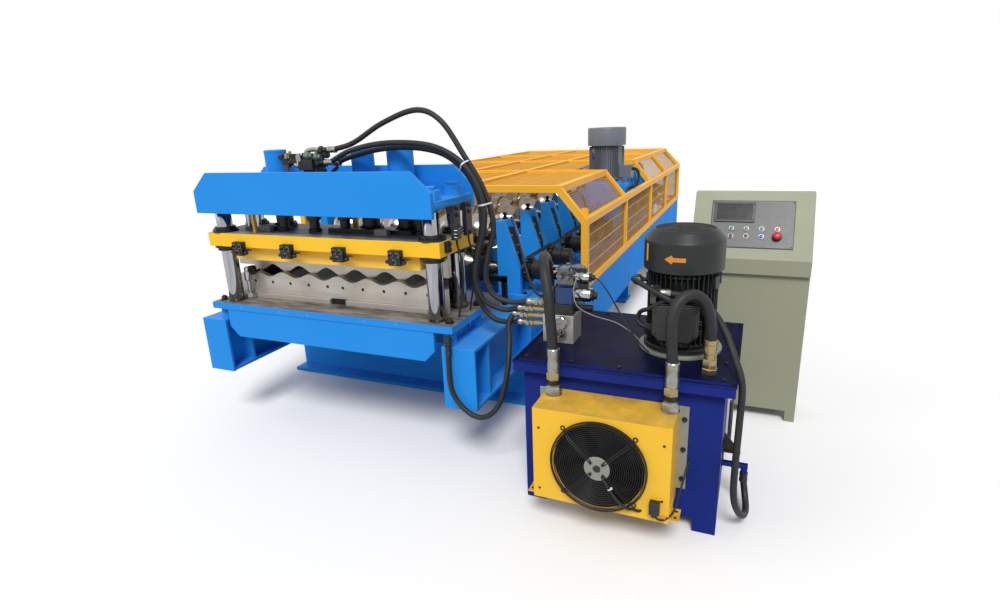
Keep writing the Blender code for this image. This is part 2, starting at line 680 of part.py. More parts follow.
def guard_frame(side):
    """One side of the cage: side wall and slope, welded from square tube."""
    half = GUARD_TUBE / 2
    wall = (GUARD_SIDE_X - half) * side
    ridge = (GUARD_RIDGE_X) * side
    low, eave, top = GUARD_RAIL_Z + half, GUARD_EAVE_Z - half, GUARD_RIDGE_Z - half
    front, rear = GUARD_YS[0] + half, GUARD_YS[-1] - half
    shapes = [
        rod_between((wall, front - half, low), (wall, rear + half, low), GUARD_TUBE),
        rod_between((wall, front - half, eave), (wall, rear + half, eave), GUARD_TUBE),
    ]
    spans = [(front - half, rear + half)]
    if side > 0:
        open_from, open_to = GUARD_YS[DRIVE_BAY], GUARD_YS[DRIVE_BAY + 1]
        spans = [(front - half, open_from + half), (open_to - half, rear + half)]
    for start, end in spans:
        shapes.append(rod_between((ridge, start, top), (ridge, end, top), GUARD_TUBE))
    for level in range(1, int((eave - low) / GUARD_WIRE_PITCH) + 1):
        z = low + level * (eave - low) / (int((eave - low) / GUARD_WIRE_PITCH) + 1)
        shapes.append(rod_between((wall, front, z), (wall, rear, z), GUARD_WIRE))
    for y in [front, *GUARD_YS[1:-1], rear]:
        shapes.append(rod_between((wall, y, low), (wall, y, eave), GUARD_TUBE - SEAT))
        shapes.append(rod_between((wall, y, eave), (ridge, y, top), GUARD_TUBE - SEAT))
    return shapes


def roof_wires(front, rear):
    """Every eighth wire of the roof's mesh as (x, start, end). They stop at the drive motor's bay."""
    wires = []
    reach = GUARD_RIDGE_X - GUARD_TUBE
    count = int(2 * reach / GUARD_WIRE_PITCH)
    for index in range(count + 1):
        x = (index - count / 2) * GUARD_WIRE_PITCH
        if min(abs(abs(x) - GUARD_SPINE_X), reach - abs(x)) < GUARD_TUBE:
            continue
        spans = [(front, rear)]
        if x > DRIVE_X - DRIVE_MOTOR_RADIUS - GUARD_WIRE_PITCH / 2:
            spans = [(front, GUARD_YS[DRIVE_BAY]), (GUARD_YS[DRIVE_BAY + 1], rear)]
        wires += [(x, *span) for span in spans]
    return wires


def make_guard(skin):
    solid("guard_right", skin, guard_frame(1))
    solid("guard_left", skin, guard_frame(-1))
    half = GUARD_TUBE / 2
    edge = GUARD_RIDGE_X - half - SEAT
    top = GUARD_RIDGE_Z - half
    front, rear = GUARD_YS[0] + half, GUARD_YS[-1] - half
    shapes = []
    for y in [front, *GUARD_YS[1:-1], rear]:
        shapes.append(rod_between((-edge, y, top), (edge, y, top), GUARD_TUBE))
    for x in (-GUARD_SPINE_X, GUARD_SPINE_X):
        shapes.append(rod_between((x, front, top), (x, rear, top), GUARD_TUBE - SEAT))
    for x, start, end in roof_wires(front, rear):
        shapes.append(rod_between((x, start, top), (x, end, top), GUARD_WIRE))
    solid("guard_roof", skin, shapes)
    outline = [
        (-GUARD_SIDE_X, GUARD_RAIL_Z), (GUARD_SIDE_X, GUARD_RAIL_Z),
        (GUARD_SIDE_X, GUARD_EAVE_Z), (GUARD_RIDGE_X, GUARD_RIDGE_Z),
        (-GUARD_RIDGE_X, GUARD_RIDGE_Z), (-GUARD_SIDE_X, GUARD_EAVE_Z),
    ]
    middle = (GUARD_RAIL_Z + GUARD_RIDGE_Z) / 2
    narrow = 1 - GUARD_TUBE / GUARD_RIDGE_X
    flat = 1 - GUARD_TUBE / (GUARD_RIDGE_Z - middle)
    window = [(a * narrow, middle + (b - middle) * flat) for a, b in outline]
    ys = (GUARD_YS[-1] + SEAT, GUARD_YS[-1] + SEAT + GUARD_TUBE)
    panel = prism(outline, "Y", *ys)
    hole = prism(window, "Y", ys[0] - 0.01, ys[1] + 0.01)
    solid("guard_end", skin, [panel], [hole])


def make_covers(skin):
    """The sheet covers under the cage, with the outriggers that carry them and the cage."""
    last = FRAME_REAR_Y - FLOOR_BEAM_WIDTH
    for name, side in (("right", 1), ("left", -1)):
        inner = MAIN_BEAM_OUTER_X + SEAT
        wall = GUARD_SIDE_X
        xs = sorted((side * (wall - COVER_THICKNESS), side * wall))
        top = GUARD_RAIL_Z - SEAT
        shapes = [box(xs, (GUARD_YS[0], GUARD_YS[-1]), (COVER_BOTTOM_Z, top))]
        bracket_xs = sorted((side * inner, side * (wall - COVER_THICKNESS / 2)))
        for index in range(4):
            y = GUARD_YS[0] + 0.08 + index * (last - GUARD_YS[0] - 0.1) / 3
            ys = (y - OUTRIGGER_SIZE / 2, y + OUTRIGGER_SIZE / 2)
            shapes.append(box(bracket_xs, ys, (top - SEAT - OUTRIGGER_SIZE, top - SEAT)))
        solid(f"side_cover_{name}", skin, shapes)


def make_drive(grey, blue):
    plate_bottom = DRIVE_MOTOR_BOTTOM_Z - DRIVE_PLATE_THICKNESS
    ys = (GEARBOX_Y - GEARBOX_DEPTH / 2, GEARBOX_Y + GEARBOX_DEPTH / 2)
    gearbox = box((GEARBOX_INNER_X, GEARBOX_OUTER_X), ys, (RAIL_TOP_Z + SEAT, plate_bottom + 0.01))
    plate = box(
        (DRIVE_X - DRIVE_PLATE_HALF, DRIVE_X + DRIVE_PLATE_HALF),
        (DRIVE_Y - DRIVE_PLATE_HALF, DRIVE_Y + DRIVE_PLATE_HALF),
        (plate_bottom, DRIVE_MOTOR_BOTTOM_Z - SEAT),
    )
    solid("drive_gearbox", blue, [gearbox, plate])
    cowl = DRIVE_MOTOR_TOP_Z - DRIVE_COWL_HEIGHT
    body = DRIVE_MOTOR_RADIUS - 0.015
    profile = [
        (DRIVE_MOTOR_BOTTOM_Z, body + 0.005), (DRIVE_MOTOR_BOTTOM_Z + 0.02, body + 0.005),
        (DRIVE_MOTOR_BOTTOM_Z + 0.02, body), (cowl, body), (cowl, DRIVE_MOTOR_RADIUS),
        (DRIVE_MOTOR_TOP_Z, DRIVE_MOTOR_RADIUS),
    ]
    terminal = box(
        (DRIVE_X + body - 0.02, DRIVE_X + body + 0.06),
        (DRIVE_Y - 0.09, DRIVE_Y + 0.04),
        (DRIVE_MOTOR_BOTTOM_Z + 0.05, DRIVE_MOTOR_BOTTOM_Z + 0.16),
    )
    solid("drive_motor", grey, [turned("Z", (DRIVE_X, DRIVE_Y), profile, 16), terminal])


def make_tank(skin):
    shapes = [box(TANK_X, TANK_Y, (TANK_BOTTOM_Z, TANK_TOP_Z))]
    rim_x = (TANK_X[0] - TANK_RIM, TANK_X[1] + TANK_RIM)
    rim_y = (TANK_Y[0] - TANK_RIM, TANK_Y[1] + TANK_RIM)
    shapes.append(box(rim_x, rim_y, (TANK_TOP_Z - TANK_RIM_HEIGHT, TANK_TOP_Z)))
    lid_x = (rim_x[0] + LID_INSET, rim_x[1] - LID_INSET)
    lid_y = (rim_y[0] + LID_INSET, rim_y[1] - LID_INSET)
    shapes.append(box(lid_x, lid_y, (TANK_TOP_Z - LID_THICKNESS, LID_TOP_Z)))
    for x in (TANK_X[0], TANK_X[1] - TANK_FOOT):
        for y in (TANK_Y[0], TANK_Y[1] - TANK_FOOT):
            inset = (x + SEAT, x + TANK_FOOT - SEAT)
            shapes.append(box(inset, (y + SEAT, y + TANK_FOOT - SEAT), (0, TANK_BOTTOM_Z + 0.01)))
    x, y, z = SIDE_PORT
    shapes.append(bar("X", (y, z), SIDE_HOSE_RADIUS, TANK_X[1] - 0.01, x + SIDE_HOSE_RADIUS, sides=12))
    shapes.append(bar("Z", (x, y), SIDE_HOSE_RADIUS, z - SIDE_PORT_DROP, z, sides=12))
    top = LID_TOP_Z + RETURN_PORT_HEIGHT
    shapes.append(bar("Z", RETURN_PORT, COOLER_HOSE_RADIUS, LID_TOP_Z - 0.005, top, sides=12))
    solid("oil_tank", skin, shapes)


def make_pump_motor(skin):
    low = LID_TOP_Z + SEAT
    profile = [
        (low, PUMP_FLANGE_RADIUS), (low + PUMP_FLANGE_HEIGHT, PUMP_FLANGE_RADIUS),
        (low + PUMP_FLANGE_HEIGHT, PUMP_BODY_RADIUS), (PUMP_COWL_Z[0], PUMP_BODY_RADIUS),
        (PUMP_COWL_Z[0], PUMP_RADIUS), (PUMP_COWL_Z[1], PUMP_RADIUS),
        (PUMP_TOP_Z, PUMP_TOP_RADIUS),
    ]
    terminal = box(
        (PUMP_X - 0.075, PUMP_X + 0.085),
        (PUMP_Y - 0.205, PUMP_Y - 0.10),
        (LID_TOP_Z + 0.075, LID_TOP_Z + 0.205),
    )
    x, y, z = PUMP_OUTLET
    body = turned("Z", (PUMP_X, PUMP_Y), profile, 20)
    neck = bar("Y", (x - 0.02, z), SIDE_HOSE_RADIUS, y - SIDE_HOSE_RADIUS, PUMP_Y - 0.08, sides=12)
    elbow = bar("X", (y, z), SIDE_HOSE_RADIUS + 0.001, x - 0.03, x, sides=12)
    solid("pump_motor", skin, [body, terminal, neck, elbow])


def make_manifold(skin):
    low = LID_TOP_Z + SEAT
    top = low + MANIFOLD_HEIGHT
    shapes = [box(MANIFOLD_X, MANIFOLD_Y, (low, top))]
    inner_x = (VALVE_STACK_X, MANIFOLD_X[1] - 0.005)
    inner_y = (MANIFOLD_Y[0] + 0.02, MANIFOLD_Y[1] - 0.02)
    stack_top = top + VALVE_STACK_HEIGHT
    shapes.append(box(inner_x, inner_y, (top - 0.01, stack_top)))
    middle = (MANIFOLD_Y[0] + MANIFOLD_Y[1]) / 2
    for z in (top + 0.045, top + 0.115):
        shapes.append(bar("X", (middle, z), 0.026, inner_x[1] - 0.02, inner_x[1] + 0.085, sides=10))
    for x, z in MANIFOLD_PORTS:
        start = MANIFOLD_X[0] + 0.015
        shapes.append(bar("X", (middle, z), FITTING_RADIUS - 0.002, x, start, sides=8))
    port = (top - 0.01, top + RETURN_STUB)
    shapes.append(bar("Z", RETURN_INLET, COOLER_HOSE_RADIUS, *port, sides=12))
    solid("valve_manifold", skin, shapes)


def make_cooler(skin):
    front, back = COOLER_FRONT_Y, TANK_Y[0] - SEAT
    shapes = [box(COOLER_X, (front, back), COOLER_Z)]
    flange_x = (COOLER_X[0] - COOLER_FLANGE, COOLER_X[1] + COOLER_FLANGE)
    flange_z = (COOLER_Z[0] + 0.03, COOLER_Z[1] - 0.002)
    shapes.append(box(flange_x, (back - COOLER_FLANGE_THICKNESS, back - SEAT), flange_z))
    for x in COOLER_PORT_XS:
        top = COOLER_Z[1] - 0.01
        shapes.append(bar("Z", (x, COOLER_PORT_Y), COOLER_HOSE_RADIUS, top, COOLER_PORT_TOP, sides=12))
    well = bar("Y", (FAN_X, FAN_Z), FAN_WELL_RADIUS, front - 0.01, front + FAN_WELL_DEPTH, sides=24)
    solid("oil_cooler", skin, shapes, [well])


def fan_blades():
    """Flat tilted blades, long enough to sink into the hub."""
    blades = []
    for index in range(FAN_BLADE_COUNT):
        angle = 2 * math.pi * index / FAN_BLADE_COUNT
        inner, outer = FAN_HUB_RADIUS * 0.6, FAN_RADIUS
        outline = [(inner, -0.018), (outer, -0.036), (outer, 0.036), (inner, 0.018)]
        blade = prism(outline, "Z", -0.002, 0.002)
        tilt = Matrix.Rotation(math.radians(24), 4, "X")
        stand = Matrix.Rotation(math.radians(90), 4, "X")
        turn = Matrix.Rotation(angle, 4, "Y")
        place = Matrix.Translation((FAN_X, COOLER_FRONT_Y + FAN_WELL_DEPTH / 2, FAN_Z))
        bmesh.ops.transform(blade, verts=blade.verts, matrix=place @ turn @ tilt @ stand)
        blades.append(blade)
    return blades


def make_fan(skin):
    axis = pivot("fan_axis", (FAN_X, COOLER_FRONT_Y, FAN_Z))
    ys = (COOLER_FRONT_Y + FAN_INSET, COOLER_FRONT_Y + FAN_WELL_DEPTH - MOVING_CLEARANCE)
    hub = bar("Y", (FAN_X, FAN_Z), FAN_HUB_RADIUS, *ys)
    solid("cooler_fan", skin, [hub, *fan_blades()], origin=axis.location, parent=axis)


def make_fan_guard(skin):
    """The wire guard: an outer ring, a middle ring, a motor disc and four straps with feet."""
    face = COOLER_FRONT_Y - FAN_GUARD_STANDOFF
    disc = bar("Y", (FAN_X, FAN_Z), 0.045, face - 0.004, face + 0.022)
    motor = bar("Y", (FAN_X, FAN_Z), 0.034, face, COOLER_FRONT_Y + FAN_INSET - RUNNING)
    straps = []
    for turn in (45, 135, 225, 315):
        angle = math.radians(turn)
        reach = FAN_GUARD_RADIUS + 0.004
        tip = (FAN_X + reach * math.cos(angle), FAN_Z + reach * math.sin(angle))
        middle = face + FAN_GUARD_WIRE / 2
        hub = (FAN_X, middle, FAN_Z)
        straps.append(rod_between(hub, (tip[0], middle, tip[1]), FAN_GUARD_WIRE * 0.8))
        if math.sin(angle) > 0:
            foot = (tip[0], COOLER_FRONT_Y - SEAT, tip[1])
            straps.append(rod_between((tip[0], middle, tip[1]), foot, FAN_GUARD_WIRE * 1.4, sides=6))
    rings = [ring_shape(radius, face) for radius in (FAN_GUARD_RADIUS, FAN_GUARD_RADIUS / 2)]
    solid("fan_guard", skin, [disc, motor, *rings, *straps])


def ring_shape(radius, face):
    """A flat ring round the fan's axis."""
    sides = 24
    inner = radius - FAN_GUARD_WIRE
    made = bmesh.new()
    loops = []
    corners = ((radius, face), (radius, face + FAN_GUARD_WIRE), (inner, face + FAN_GUARD_WIRE), (inner, face))
    for i in range(sides):
        angle = 2 * math.pi * (i + 0.5) / sides
        loop = []
        for r, y in corners:
            point = (FAN_X + r * math.cos(angle), y, FAN_Z + r * math.sin(angle))
            loop.append(made.verts.new(point))
        loops.append(loop)
    for i in range(sides):
        one, two = loops[i], loops[(i + 1) % sides]
        for j in range(4):
            k = (j + 1) % 4
            made.faces.new((one[j], one[k], two[k], two[j]))
    bmesh.ops.recalc_face_normals(made, faces=made.faces)
    return made


def make_console(shell, dark):
    front, back = CONSOLE_FRONT_Y, CONSOLE_FRONT_Y + CONSOLE_DEPTH
    slope_top = front + CONSOLE_SLOPE_DEPTH
    lip_z = CONSOLE_SILL_Z - CONSOLE_LIP_HEIGHT
    outline = [
        (front + CONSOLE_LIP, CONSOLE_FOOT), (back, CONSOLE_FOOT), (back, CONSOLE_HEIGHT),
        (slope_top, CONSOLE_HEIGHT), (front, CONSOLE_SILL_Z), (front, lip_z),
        (front + CONSOLE_LIP, lip_z),
    ]
    shapes = [prism(outline, "X", *CONSOLE_X)]
    foot = 0.05
    for x in (CONSOLE_X[0] + SEAT, CONSOLE_X[1] - foot - SEAT):
        for y in (front + CONSOLE_LIP + SEAT, back - foot - SEAT):
            shapes.append(box((x, x + foot), (y, y + foot), (0, CONSOLE_FOOT + 0.01)))
    solid("console_body", shell, shapes)
    rise = CONSOLE_HEIGHT - CONSOLE_SILL_Z
    slope = math.atan2(rise, CONSOLE_SLOPE_DEPTH)
    length = math.hypot(rise, CONSOLE_SLOPE_DEPTH)
    middle = (CONSOLE_X[0] + CONSOLE_X[1]) / 2
    half = PANEL_WIDTH / 2
    start = length - PANEL_MARGIN - PANEL_LENGTH
    panel = box((-half, half), (start, start + PANEL_LENGTH), (SEAT, SEAT + PANEL_THICKNESS))
    top = SEAT + PANEL_THICKNESS
    screen = box((-half + 0.012, 0.012), (start + 0.139, start + 0.252), (top - 0.003, top + 0.008))
    shapes = [panel, screen]
    for row in (0, 1):
        for column in range(4):
            x = -0.0975 + column * BUTTON_PITCH
            stop = row == 0 and column == 3
            radius = STOP_RADIUS if stop else BUTTON_RADIUS
            high = top + (0.032 if stop else 0.014)
            shapes.append(bar("Z", (x, start + 0.061 + row * 0.0425), radius, top - 0.003, high, sides=8))
    place = Matrix.Translation((middle, front, CONSOLE_SILL_Z)) @ Matrix.Rotation(slope, 4, "X")
    for shape in shapes:
        bmesh.ops.transform(shape, verts=shape.verts, matrix=place)
    solid("console_panel", dark, shapes)


def smooth_route(points, spacing):
    """Evenly spaced points on a Catmull-Rom curve, between a straight lead at each end."""
    fine = []
    for p0, p1, p2, p3 in zip(points, points[1:], points[2:], points[3:]):
        for step in range(24):
            t = step / 24
            fine.append(
                0.5 * (
                    2 * p1 + (p2 - p0) * t + (2 * p0 - 5 * p1 + 4 * p2 - p3) * t * t
                    + (3 * p1 - p0 - 3 * p2 + p3) * t ** 3
                )
            )
    fine.append(points[-2])
    total = sum((b - a).length for a, b in zip(fine, fine[1:]))
    count = max(4, round(total / spacing))
    chosen, walked = [points[0], fine[0]], 0.0
    for a, b in zip(fine, fine[1:]):
        walked += (b - a).length
        if walked >= (len(chosen) - 1) * total / count and len(chosen) <= count:
            chosen.append(b)
    return [*chosen, fine[-1], points[-1]]


def make_hose(name, skin, radius, route, spacing=0.07):
    curve = bpy.data.curves.new(name, "CURVE")
    curve.dimensions = "3D"
    curve.bevel_depth = radius
    curve.bevel_resolution = 2
    curve.use_fill_caps = True
    points = smooth_route([Vector(point) for point in route], spacing)
    line = curve.splines.new("POLY")
    line.points.add(len(points) - 1)
    for slot, point in zip(line.points, points):
        slot.co = (*point, 1.0)
    curve.materials.append(skin)
    made = bpy.data.objects.new(name, curve)
    bpy.context.scene.collection.objects.link(made)
    return made


def make_hoses(rubber):
    start = PRESS_PORT_X + SEAT
    (y0, z0), (y1, z1), (y2, z2) = PRESS_PORTS
    lead = HOSE_LEAD
    ends = []
    for x, z in MANIFOLD_PORTS:
        tip = x - SEAT
        ends.append(((tip - lead, MANIFOLD_PORT_Y, z), (tip, MANIFOLD_PORT_Y, z)))
    make_hose("hose_high", rubber, HOSE_RADIUS, [
        (start, y0, z0), (start + lead, y0, z0), (0.20, -0.712, 1.553), (0.37, -0.71, 1.636),
        (0.545, -0.70, 1.685),
        (0.665, -0.70, 1.635), (0.77, -0.70, 1.485), (0.858, -0.70, 1.335), (0.897, -0.70, 1.18),
        (0.862, -0.70, 1.04), (0.848, -0.70, 0.93), (0.885, -0.695, 0.855), (0.96, -0.68, 0.826),
        *ends[0],
    ])
    make_hose("hose_bundle_1", rubber, HOSE_RADIUS, [
        (start, y1, z1), (start + lead, y1, z1), (0.20, -0.745, 1.518), (0.36, -0.735, 1.546),
        (0.53, -0.73, 1.545), (0.66, -0.73, 1.521), (0.765, -0.73, 1.462), (0.832, -0.73, 1.375),
        (0.866, -0.73, 1.27), (0.862, -0.728, 1.17), (0.822, -0.722, 1.04), (0.803, -0.715, 0.93),
        (0.835, -0.70, 0.83), (0.92, -0.675, 0.785), *ends[1],
    ])
    make_hose("hose_bundle_2", rubber, HOSE_RADIUS, [
        (start, y2, z2), (start + lead, y2, z2), (0.18, -0.700, 1.492), (0.34, -0.695, 1.521),
        (0.51, -0.69, 1.524), (0.65, -0.69, 1.497), (0.745, -0.69, 1.437), (0.806, -0.69, 1.357),
        (0.833, -0.69, 1.26), (0.828, -0.685, 1.15), (0.793, -0.672, 1.04), (0.775, -0.665, 0.93),
        (0.79, -0.665, 0.82),
        (0.86, -0.665, 0.735), (0.94, -0.665, 0.722), *ends[3],
    ])
    x, y = BED_PORT
    make_hose("hose_bed_loop", rubber, HOSE_RADIUS, [
        (x, y, BED_PORT_Z - 0.036 - SEAT), (x, y, BED_PORT_Z - 0.036 - lead),
        (0.720, -0.874, 0.574), (0.732, -0.878, 0.43),
        (0.81, -0.88, 0.338), (0.895, -0.875, 0.325), (0.962, -0.86, 0.40), (0.992, -0.83, 0.539),
        (0.980, -0.765, 0.66), (0.955, -0.70, 0.735), *ends[2],
    ])
    left, right = COOLER_PORT_XS
    top = COOLER_PORT_TOP + SEAT
    inlet = LID_TOP_Z + SEAT + MANIFOLD_HEIGHT + RETURN_STUB + SEAT
    make_hose("hose_cooler_left", rubber, COOLER_HOSE_RADIUS, [
        (left, COOLER_PORT_Y, top), (left, COOLER_PORT_Y, top + lead), (1.250, -0.985, 0.89),
        (1.234, -0.965, 0.985), (1.207, -0.92, 1.055), (1.180, -0.84, 1.085),
        (1.162, -0.755, 1.055), (1.156, -0.705, 0.97), (*RETURN_INLET, inlet + lead),
        (*RETURN_INLET, inlet),
    ], spacing=0.085)
    x, y = RETURN_PORT
    low = LID_TOP_Z + RETURN_PORT_HEIGHT + SEAT
    make_hose("hose_cooler_right", rubber, COOLER_HOSE_RADIUS, [
        (right, COOLER_PORT_Y, top), (right, COOLER_PORT_Y, top + lead), (1.714, -0.985, 0.84),
        (1.712, -0.975, 0.915), (1.733, -0.95, 0.972), (1.775, -0.92, 0.992),
        (1.814, -0.895, 0.962), (1.837, -0.877, 0.89), (x, y, low + lead), (x, y, low),
    ], spacing=0.085)
    x, y, z = PUMP_OUTLET
    end_x, end_y, end_z = SIDE_PORT
    end_z -= SIDE_PORT_DROP + SEAT
    make_hose("hose_tank_side", rubber, SIDE_HOSE_RADIUS, [
        (x + SEAT, y, z), (x + lead, y, z), (1.75, -0.785, 0.942), (1.82, -0.79, 0.91),
        (1.876, -0.80, 0.846), (1.930, -0.86, 0.745), (1.9645, -0.895, 0.65),
        (1.966, -0.92, 0.50), (1.964, -0.935, 0.34), (1.967, -0.925, 0.20),
        (1.985, -0.89, 0.11), (2.008, -0.84, 0.058), (2.018, -0.775, 0.048),
        (2.010, -0.72, 0.085), (end_x, end_y, end_z - lead), (end_x, end_y, end_z),
    ])


def clear_scene():
    for old in list(bpy.data.objects):
        bpy.data.objects.remove(old, do_unlink=True)


def main():
    clear_scene()
    blue = material("blue_paint", (0.03, 0.26, 0.75), 0.35)
    navy = material("navy_paint", (0.03, 0.03, 0.22), 0.35)
    yellow = material("yellow_paint", (0.92, 0.52, 0.05), 0.35)
    steel = material("bare_steel", (0.52, 0.50, 0.47), 0.40, 0.9)
    chrome = material("chrome", (0.80, 0.80, 0.80), 0.12, 1.0)
    black = material("black_finish", (0.02, 0.02, 0.02), 0.50)
    rubber = material("black_rubber", (0.015, 0.015, 0.015), 0.60)
    motor_green = material("motor_green", (0.05, 0.06, 0.055), 0.45)
    motor_grey = material("motor_grey", (0.19, 0.21, 0.23), 0.45)
    console_paint = material("console_paint", (0.46, 0.49, 0.36), 0.45)
    panel_grey = material("panel_grey", (0.16, 0.15, 0.15), 0.40)

    slide = pivot("press_slide", (0, CYLINDER_Y, PLATEN_BOTTOM_Z))
    make_base_frame(blue)
    make_stands(blue)
    make_rollers(chrome)
    make_bed(blue)
    make_blades(steel, slide)
    make_columns(chrome)
    make_platen(yellow, slide)
    deck_z = make_top_frame(blue)
    make_press_valves(black, deck_z)
    make_guard(yellow)
    make_covers(blue)
    make_drive(motor_grey, blue)
    make_tank(navy)
    make_pump_motor(motor_green)
    make_manifold(steel)
    make_cooler(yellow)
    make_fan(black)
    make_fan_guard(black)
    make_console(console_paint, panel_grey)
    make_hoses(rubber)


main()
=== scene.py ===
"""Looks of the roll forming machine: finishes, hoses, wire mesh, fins, fittings and fasteners
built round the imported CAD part. Metres, in the CAD part's own frame.
"""

import math

import bmesh
import bpy
from mathutils import Matrix, Vector


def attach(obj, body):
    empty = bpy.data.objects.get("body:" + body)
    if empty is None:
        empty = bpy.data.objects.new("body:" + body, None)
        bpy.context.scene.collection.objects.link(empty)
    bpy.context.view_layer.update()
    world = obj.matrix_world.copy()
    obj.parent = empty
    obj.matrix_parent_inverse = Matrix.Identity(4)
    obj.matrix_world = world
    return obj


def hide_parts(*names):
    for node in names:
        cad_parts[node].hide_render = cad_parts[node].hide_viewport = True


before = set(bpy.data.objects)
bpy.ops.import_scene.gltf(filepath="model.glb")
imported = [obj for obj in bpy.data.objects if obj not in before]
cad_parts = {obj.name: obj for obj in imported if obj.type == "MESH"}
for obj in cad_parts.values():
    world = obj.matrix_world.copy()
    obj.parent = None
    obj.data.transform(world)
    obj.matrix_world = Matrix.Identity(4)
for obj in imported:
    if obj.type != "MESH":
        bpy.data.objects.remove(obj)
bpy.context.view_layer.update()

MACHINE = "machine"
PRESS = "press_platen"
FAN = "fan"
X, Y, Z = Vector((1, 0, 0)), Vector((0, 1, 0)), Vector((0, 0, 1))
GAP = 0.0003  # between faces that would otherwise lie in one plane


# Shapes. They are drawn into the open draft if no other mesh is given, and piece() turns that into an
# object and empties it.

DRAFT = bmesh.new()


def block(low, high, turn=None, bm=DRAFT):
    """A box between two opposite corners, turned about its centre if turn is a matrix."""
    low, high = Vector(map(min, low, high)), Vector(map(max, low, high))
    centre, size = (low + high) / 2, high - low
    place = Matrix.Translation(centre) @ (turn or Matrix.Identity(4)) @ Matrix.Diagonal((*size, 1))
    bmesh.ops.create_cube(bm, size=1.0, matrix=place)


def across(direction):
    """Two directions square to one another and to this one."""
    direction = Vector(direction).normalized()
    side = direction.cross(Z)
    side = Vector(X) if side.length < 0.01 else side.normalized()
    return side, side.cross(direction)


def skin_rings(rings, closed=False, bm=DRAFT):
    """Faces between one ring of points and the next."""
    pairs = list(zip(rings, rings[1:] + rings[:1])) if closed else list(zip(rings, rings[1:]))
    count = len(rings[0])
    for one, two in pairs:
        for i in range(count):
            j = (i + 1) % count
            bm.faces.new((one[i], one[j], two[j], two[i]))


def place_new(before, matrix, bm=DRAFT):
    """Move what was drawn since a vertex count."""
    bm.verts.ensure_lookup_table()
    bmesh.ops.transform(bm, verts=bm.verts[before:], matrix=matrix)


def lathe(start, direction, profile, sides=32, capped=True, bm=DRAFT):
    """A turned shape. The profile is (distance along, radius) pairs from the start."""
    start, direction = Vector(start), Vector(direction).normalized()
    side, up = across(direction)
    rings = []
    for along, radius in profile:
        ring = []
        for i in range(sides):
            angle = 2 * math.pi * (i + 0.5) / sides
            offset = side * (radius * math.cos(angle)) + up * (radius * math.sin(angle))
            ring.append(bm.verts.new(start + direction * along + offset))
        rings.append(ring)
    skin_rings(rings, bm=bm)
    if capped:
        bm.faces.new(rings[0])
        bm.faces.new(rings[-1])


def steps(*rows):
    """A lathe profile in plain steps, from rows of the distance where each one ends and its radius."""
    profile, last = [], 0
    for end, radius in rows:
        profile += [(last, radius), (end, radius)]
        last = end
    return profile


def disc(start, direction, radius, height, sides=32, bm=DRAFT):
    """A plain round disc or stub."""
    lathe(start, direction, [(0, radius), (height, radius)], sides, bm=bm)


def rod(start, end, radius, sides=12, bm=DRAFT):
    """A round bar from one point to another."""
    way = Vector(end) - Vector(start)
    disc(start, way, radius, way.length, sides, bm)


def nut(start, direction, radius, height, bm=DRAFT):
    """A hexagon with chamfered corners."""
    lathe(start, direction, [(0, radius), (height * 0.86, radius), (height, radius * 0.9)], 6, bm=bm)


def bolt(start, direction, radius=0.01, height=0.008):
    """A washer and a hexagon head with the end of the screw above it."""
    start, direction = Vector(start), Vector(direction).normalized()
    disc(start, direction, radius * 1.35, height * 0.25, 16)
    nut(start + direction * height * 0.25, direction, radius, height)
    tip = start + direction * height * 1.2
    lathe(tip, direction, [(0, radius * 0.5), (height * 0.25, radius * 0.45)], 10)


def cap_screw(start, direction, radius=0.008, height=0.01, bm=DRAFT):
    """A round socket head screw: a collar with a hexagon hole."""
    lathe(start, direction, [(0, radius), (height * 0.9, radius), (height, radius * 0.92),
        (height, radius * 0.5), (height * 0.45, radius * 0.48)], 12, bm=bm)


def loop(centre, normal, radius, wire, around, sides):
    """A ring of round wire."""
    centre = Vector(centre)
    side, up = across(normal)
    normal = Vector(normal).normalized()
    rings = []
    for i in range(around):
        angle = 2 * math.pi * i / around
        out = side * math.cos(angle) + up * math.sin(angle)
        ring = []
        for j in range(sides):
            turn = 2 * math.pi * (j + 0.5) / sides
            offset = out * (wire * math.cos(turn)) + normal * (wire * math.sin(turn))
            ring.append(DRAFT.verts.new(centre + out * radius + offset))
        rings.append(ring)
    skin_rings(rings, closed=True)


def crimp(tip, direction, radius, length=0.042):
    """A hose end pressed onto the hose, from the tip back along the hose."""
    lathe(tip, direction, [(0, radius * 0.98), (0.001, radius * 1.22), (length * 0.36, radius * 1.22),
        (length * 0.4, radius * 1.16), (length * 0.62, radius * 1.16), (length * 0.66, radius * 1.24),
        (length * 0.96, radius * 1.24), (length, radius * 1.1), (length, radius * 1.0)], 24)


def tie(centre, direction, radius, width):
    """A cable tie round a bundle, with its lock."""
    centre, direction = Vector(centre), Vector(direction).normalized()
    lathe(centre - direction * width / 2, direction, [(0, radius), (0, radius + 0.0016),
        (width, radius + 0.0016), (width, radius)], 24, capped=False)
    side, up = across(direction)
    spot = centre + up * (radius + 0.003)
    block(spot - Vector((0.004, 0.004, 0.003)), spot + Vector((0.004, 0.004, 0.003)))


def prism(outline, axis, low, high, bm=DRAFT):
    """An outline pushed along an axis. Its points are (Y, Z), (X, Z) or (X, Y) for X, Y or Z."""
    order = {"X": (2, 0, 1), "Y": (0, 2, 1), "Z": (0, 1, 2)}[axis]
    ends = [[bm.verts.new([(a, b, c)[i] for i in order]) for a, b in outline] for c in (low, high)]
    skin_rings(ends, bm=bm)
    bm.faces.new(ends[0])
    bm.faces.new(ends[1])


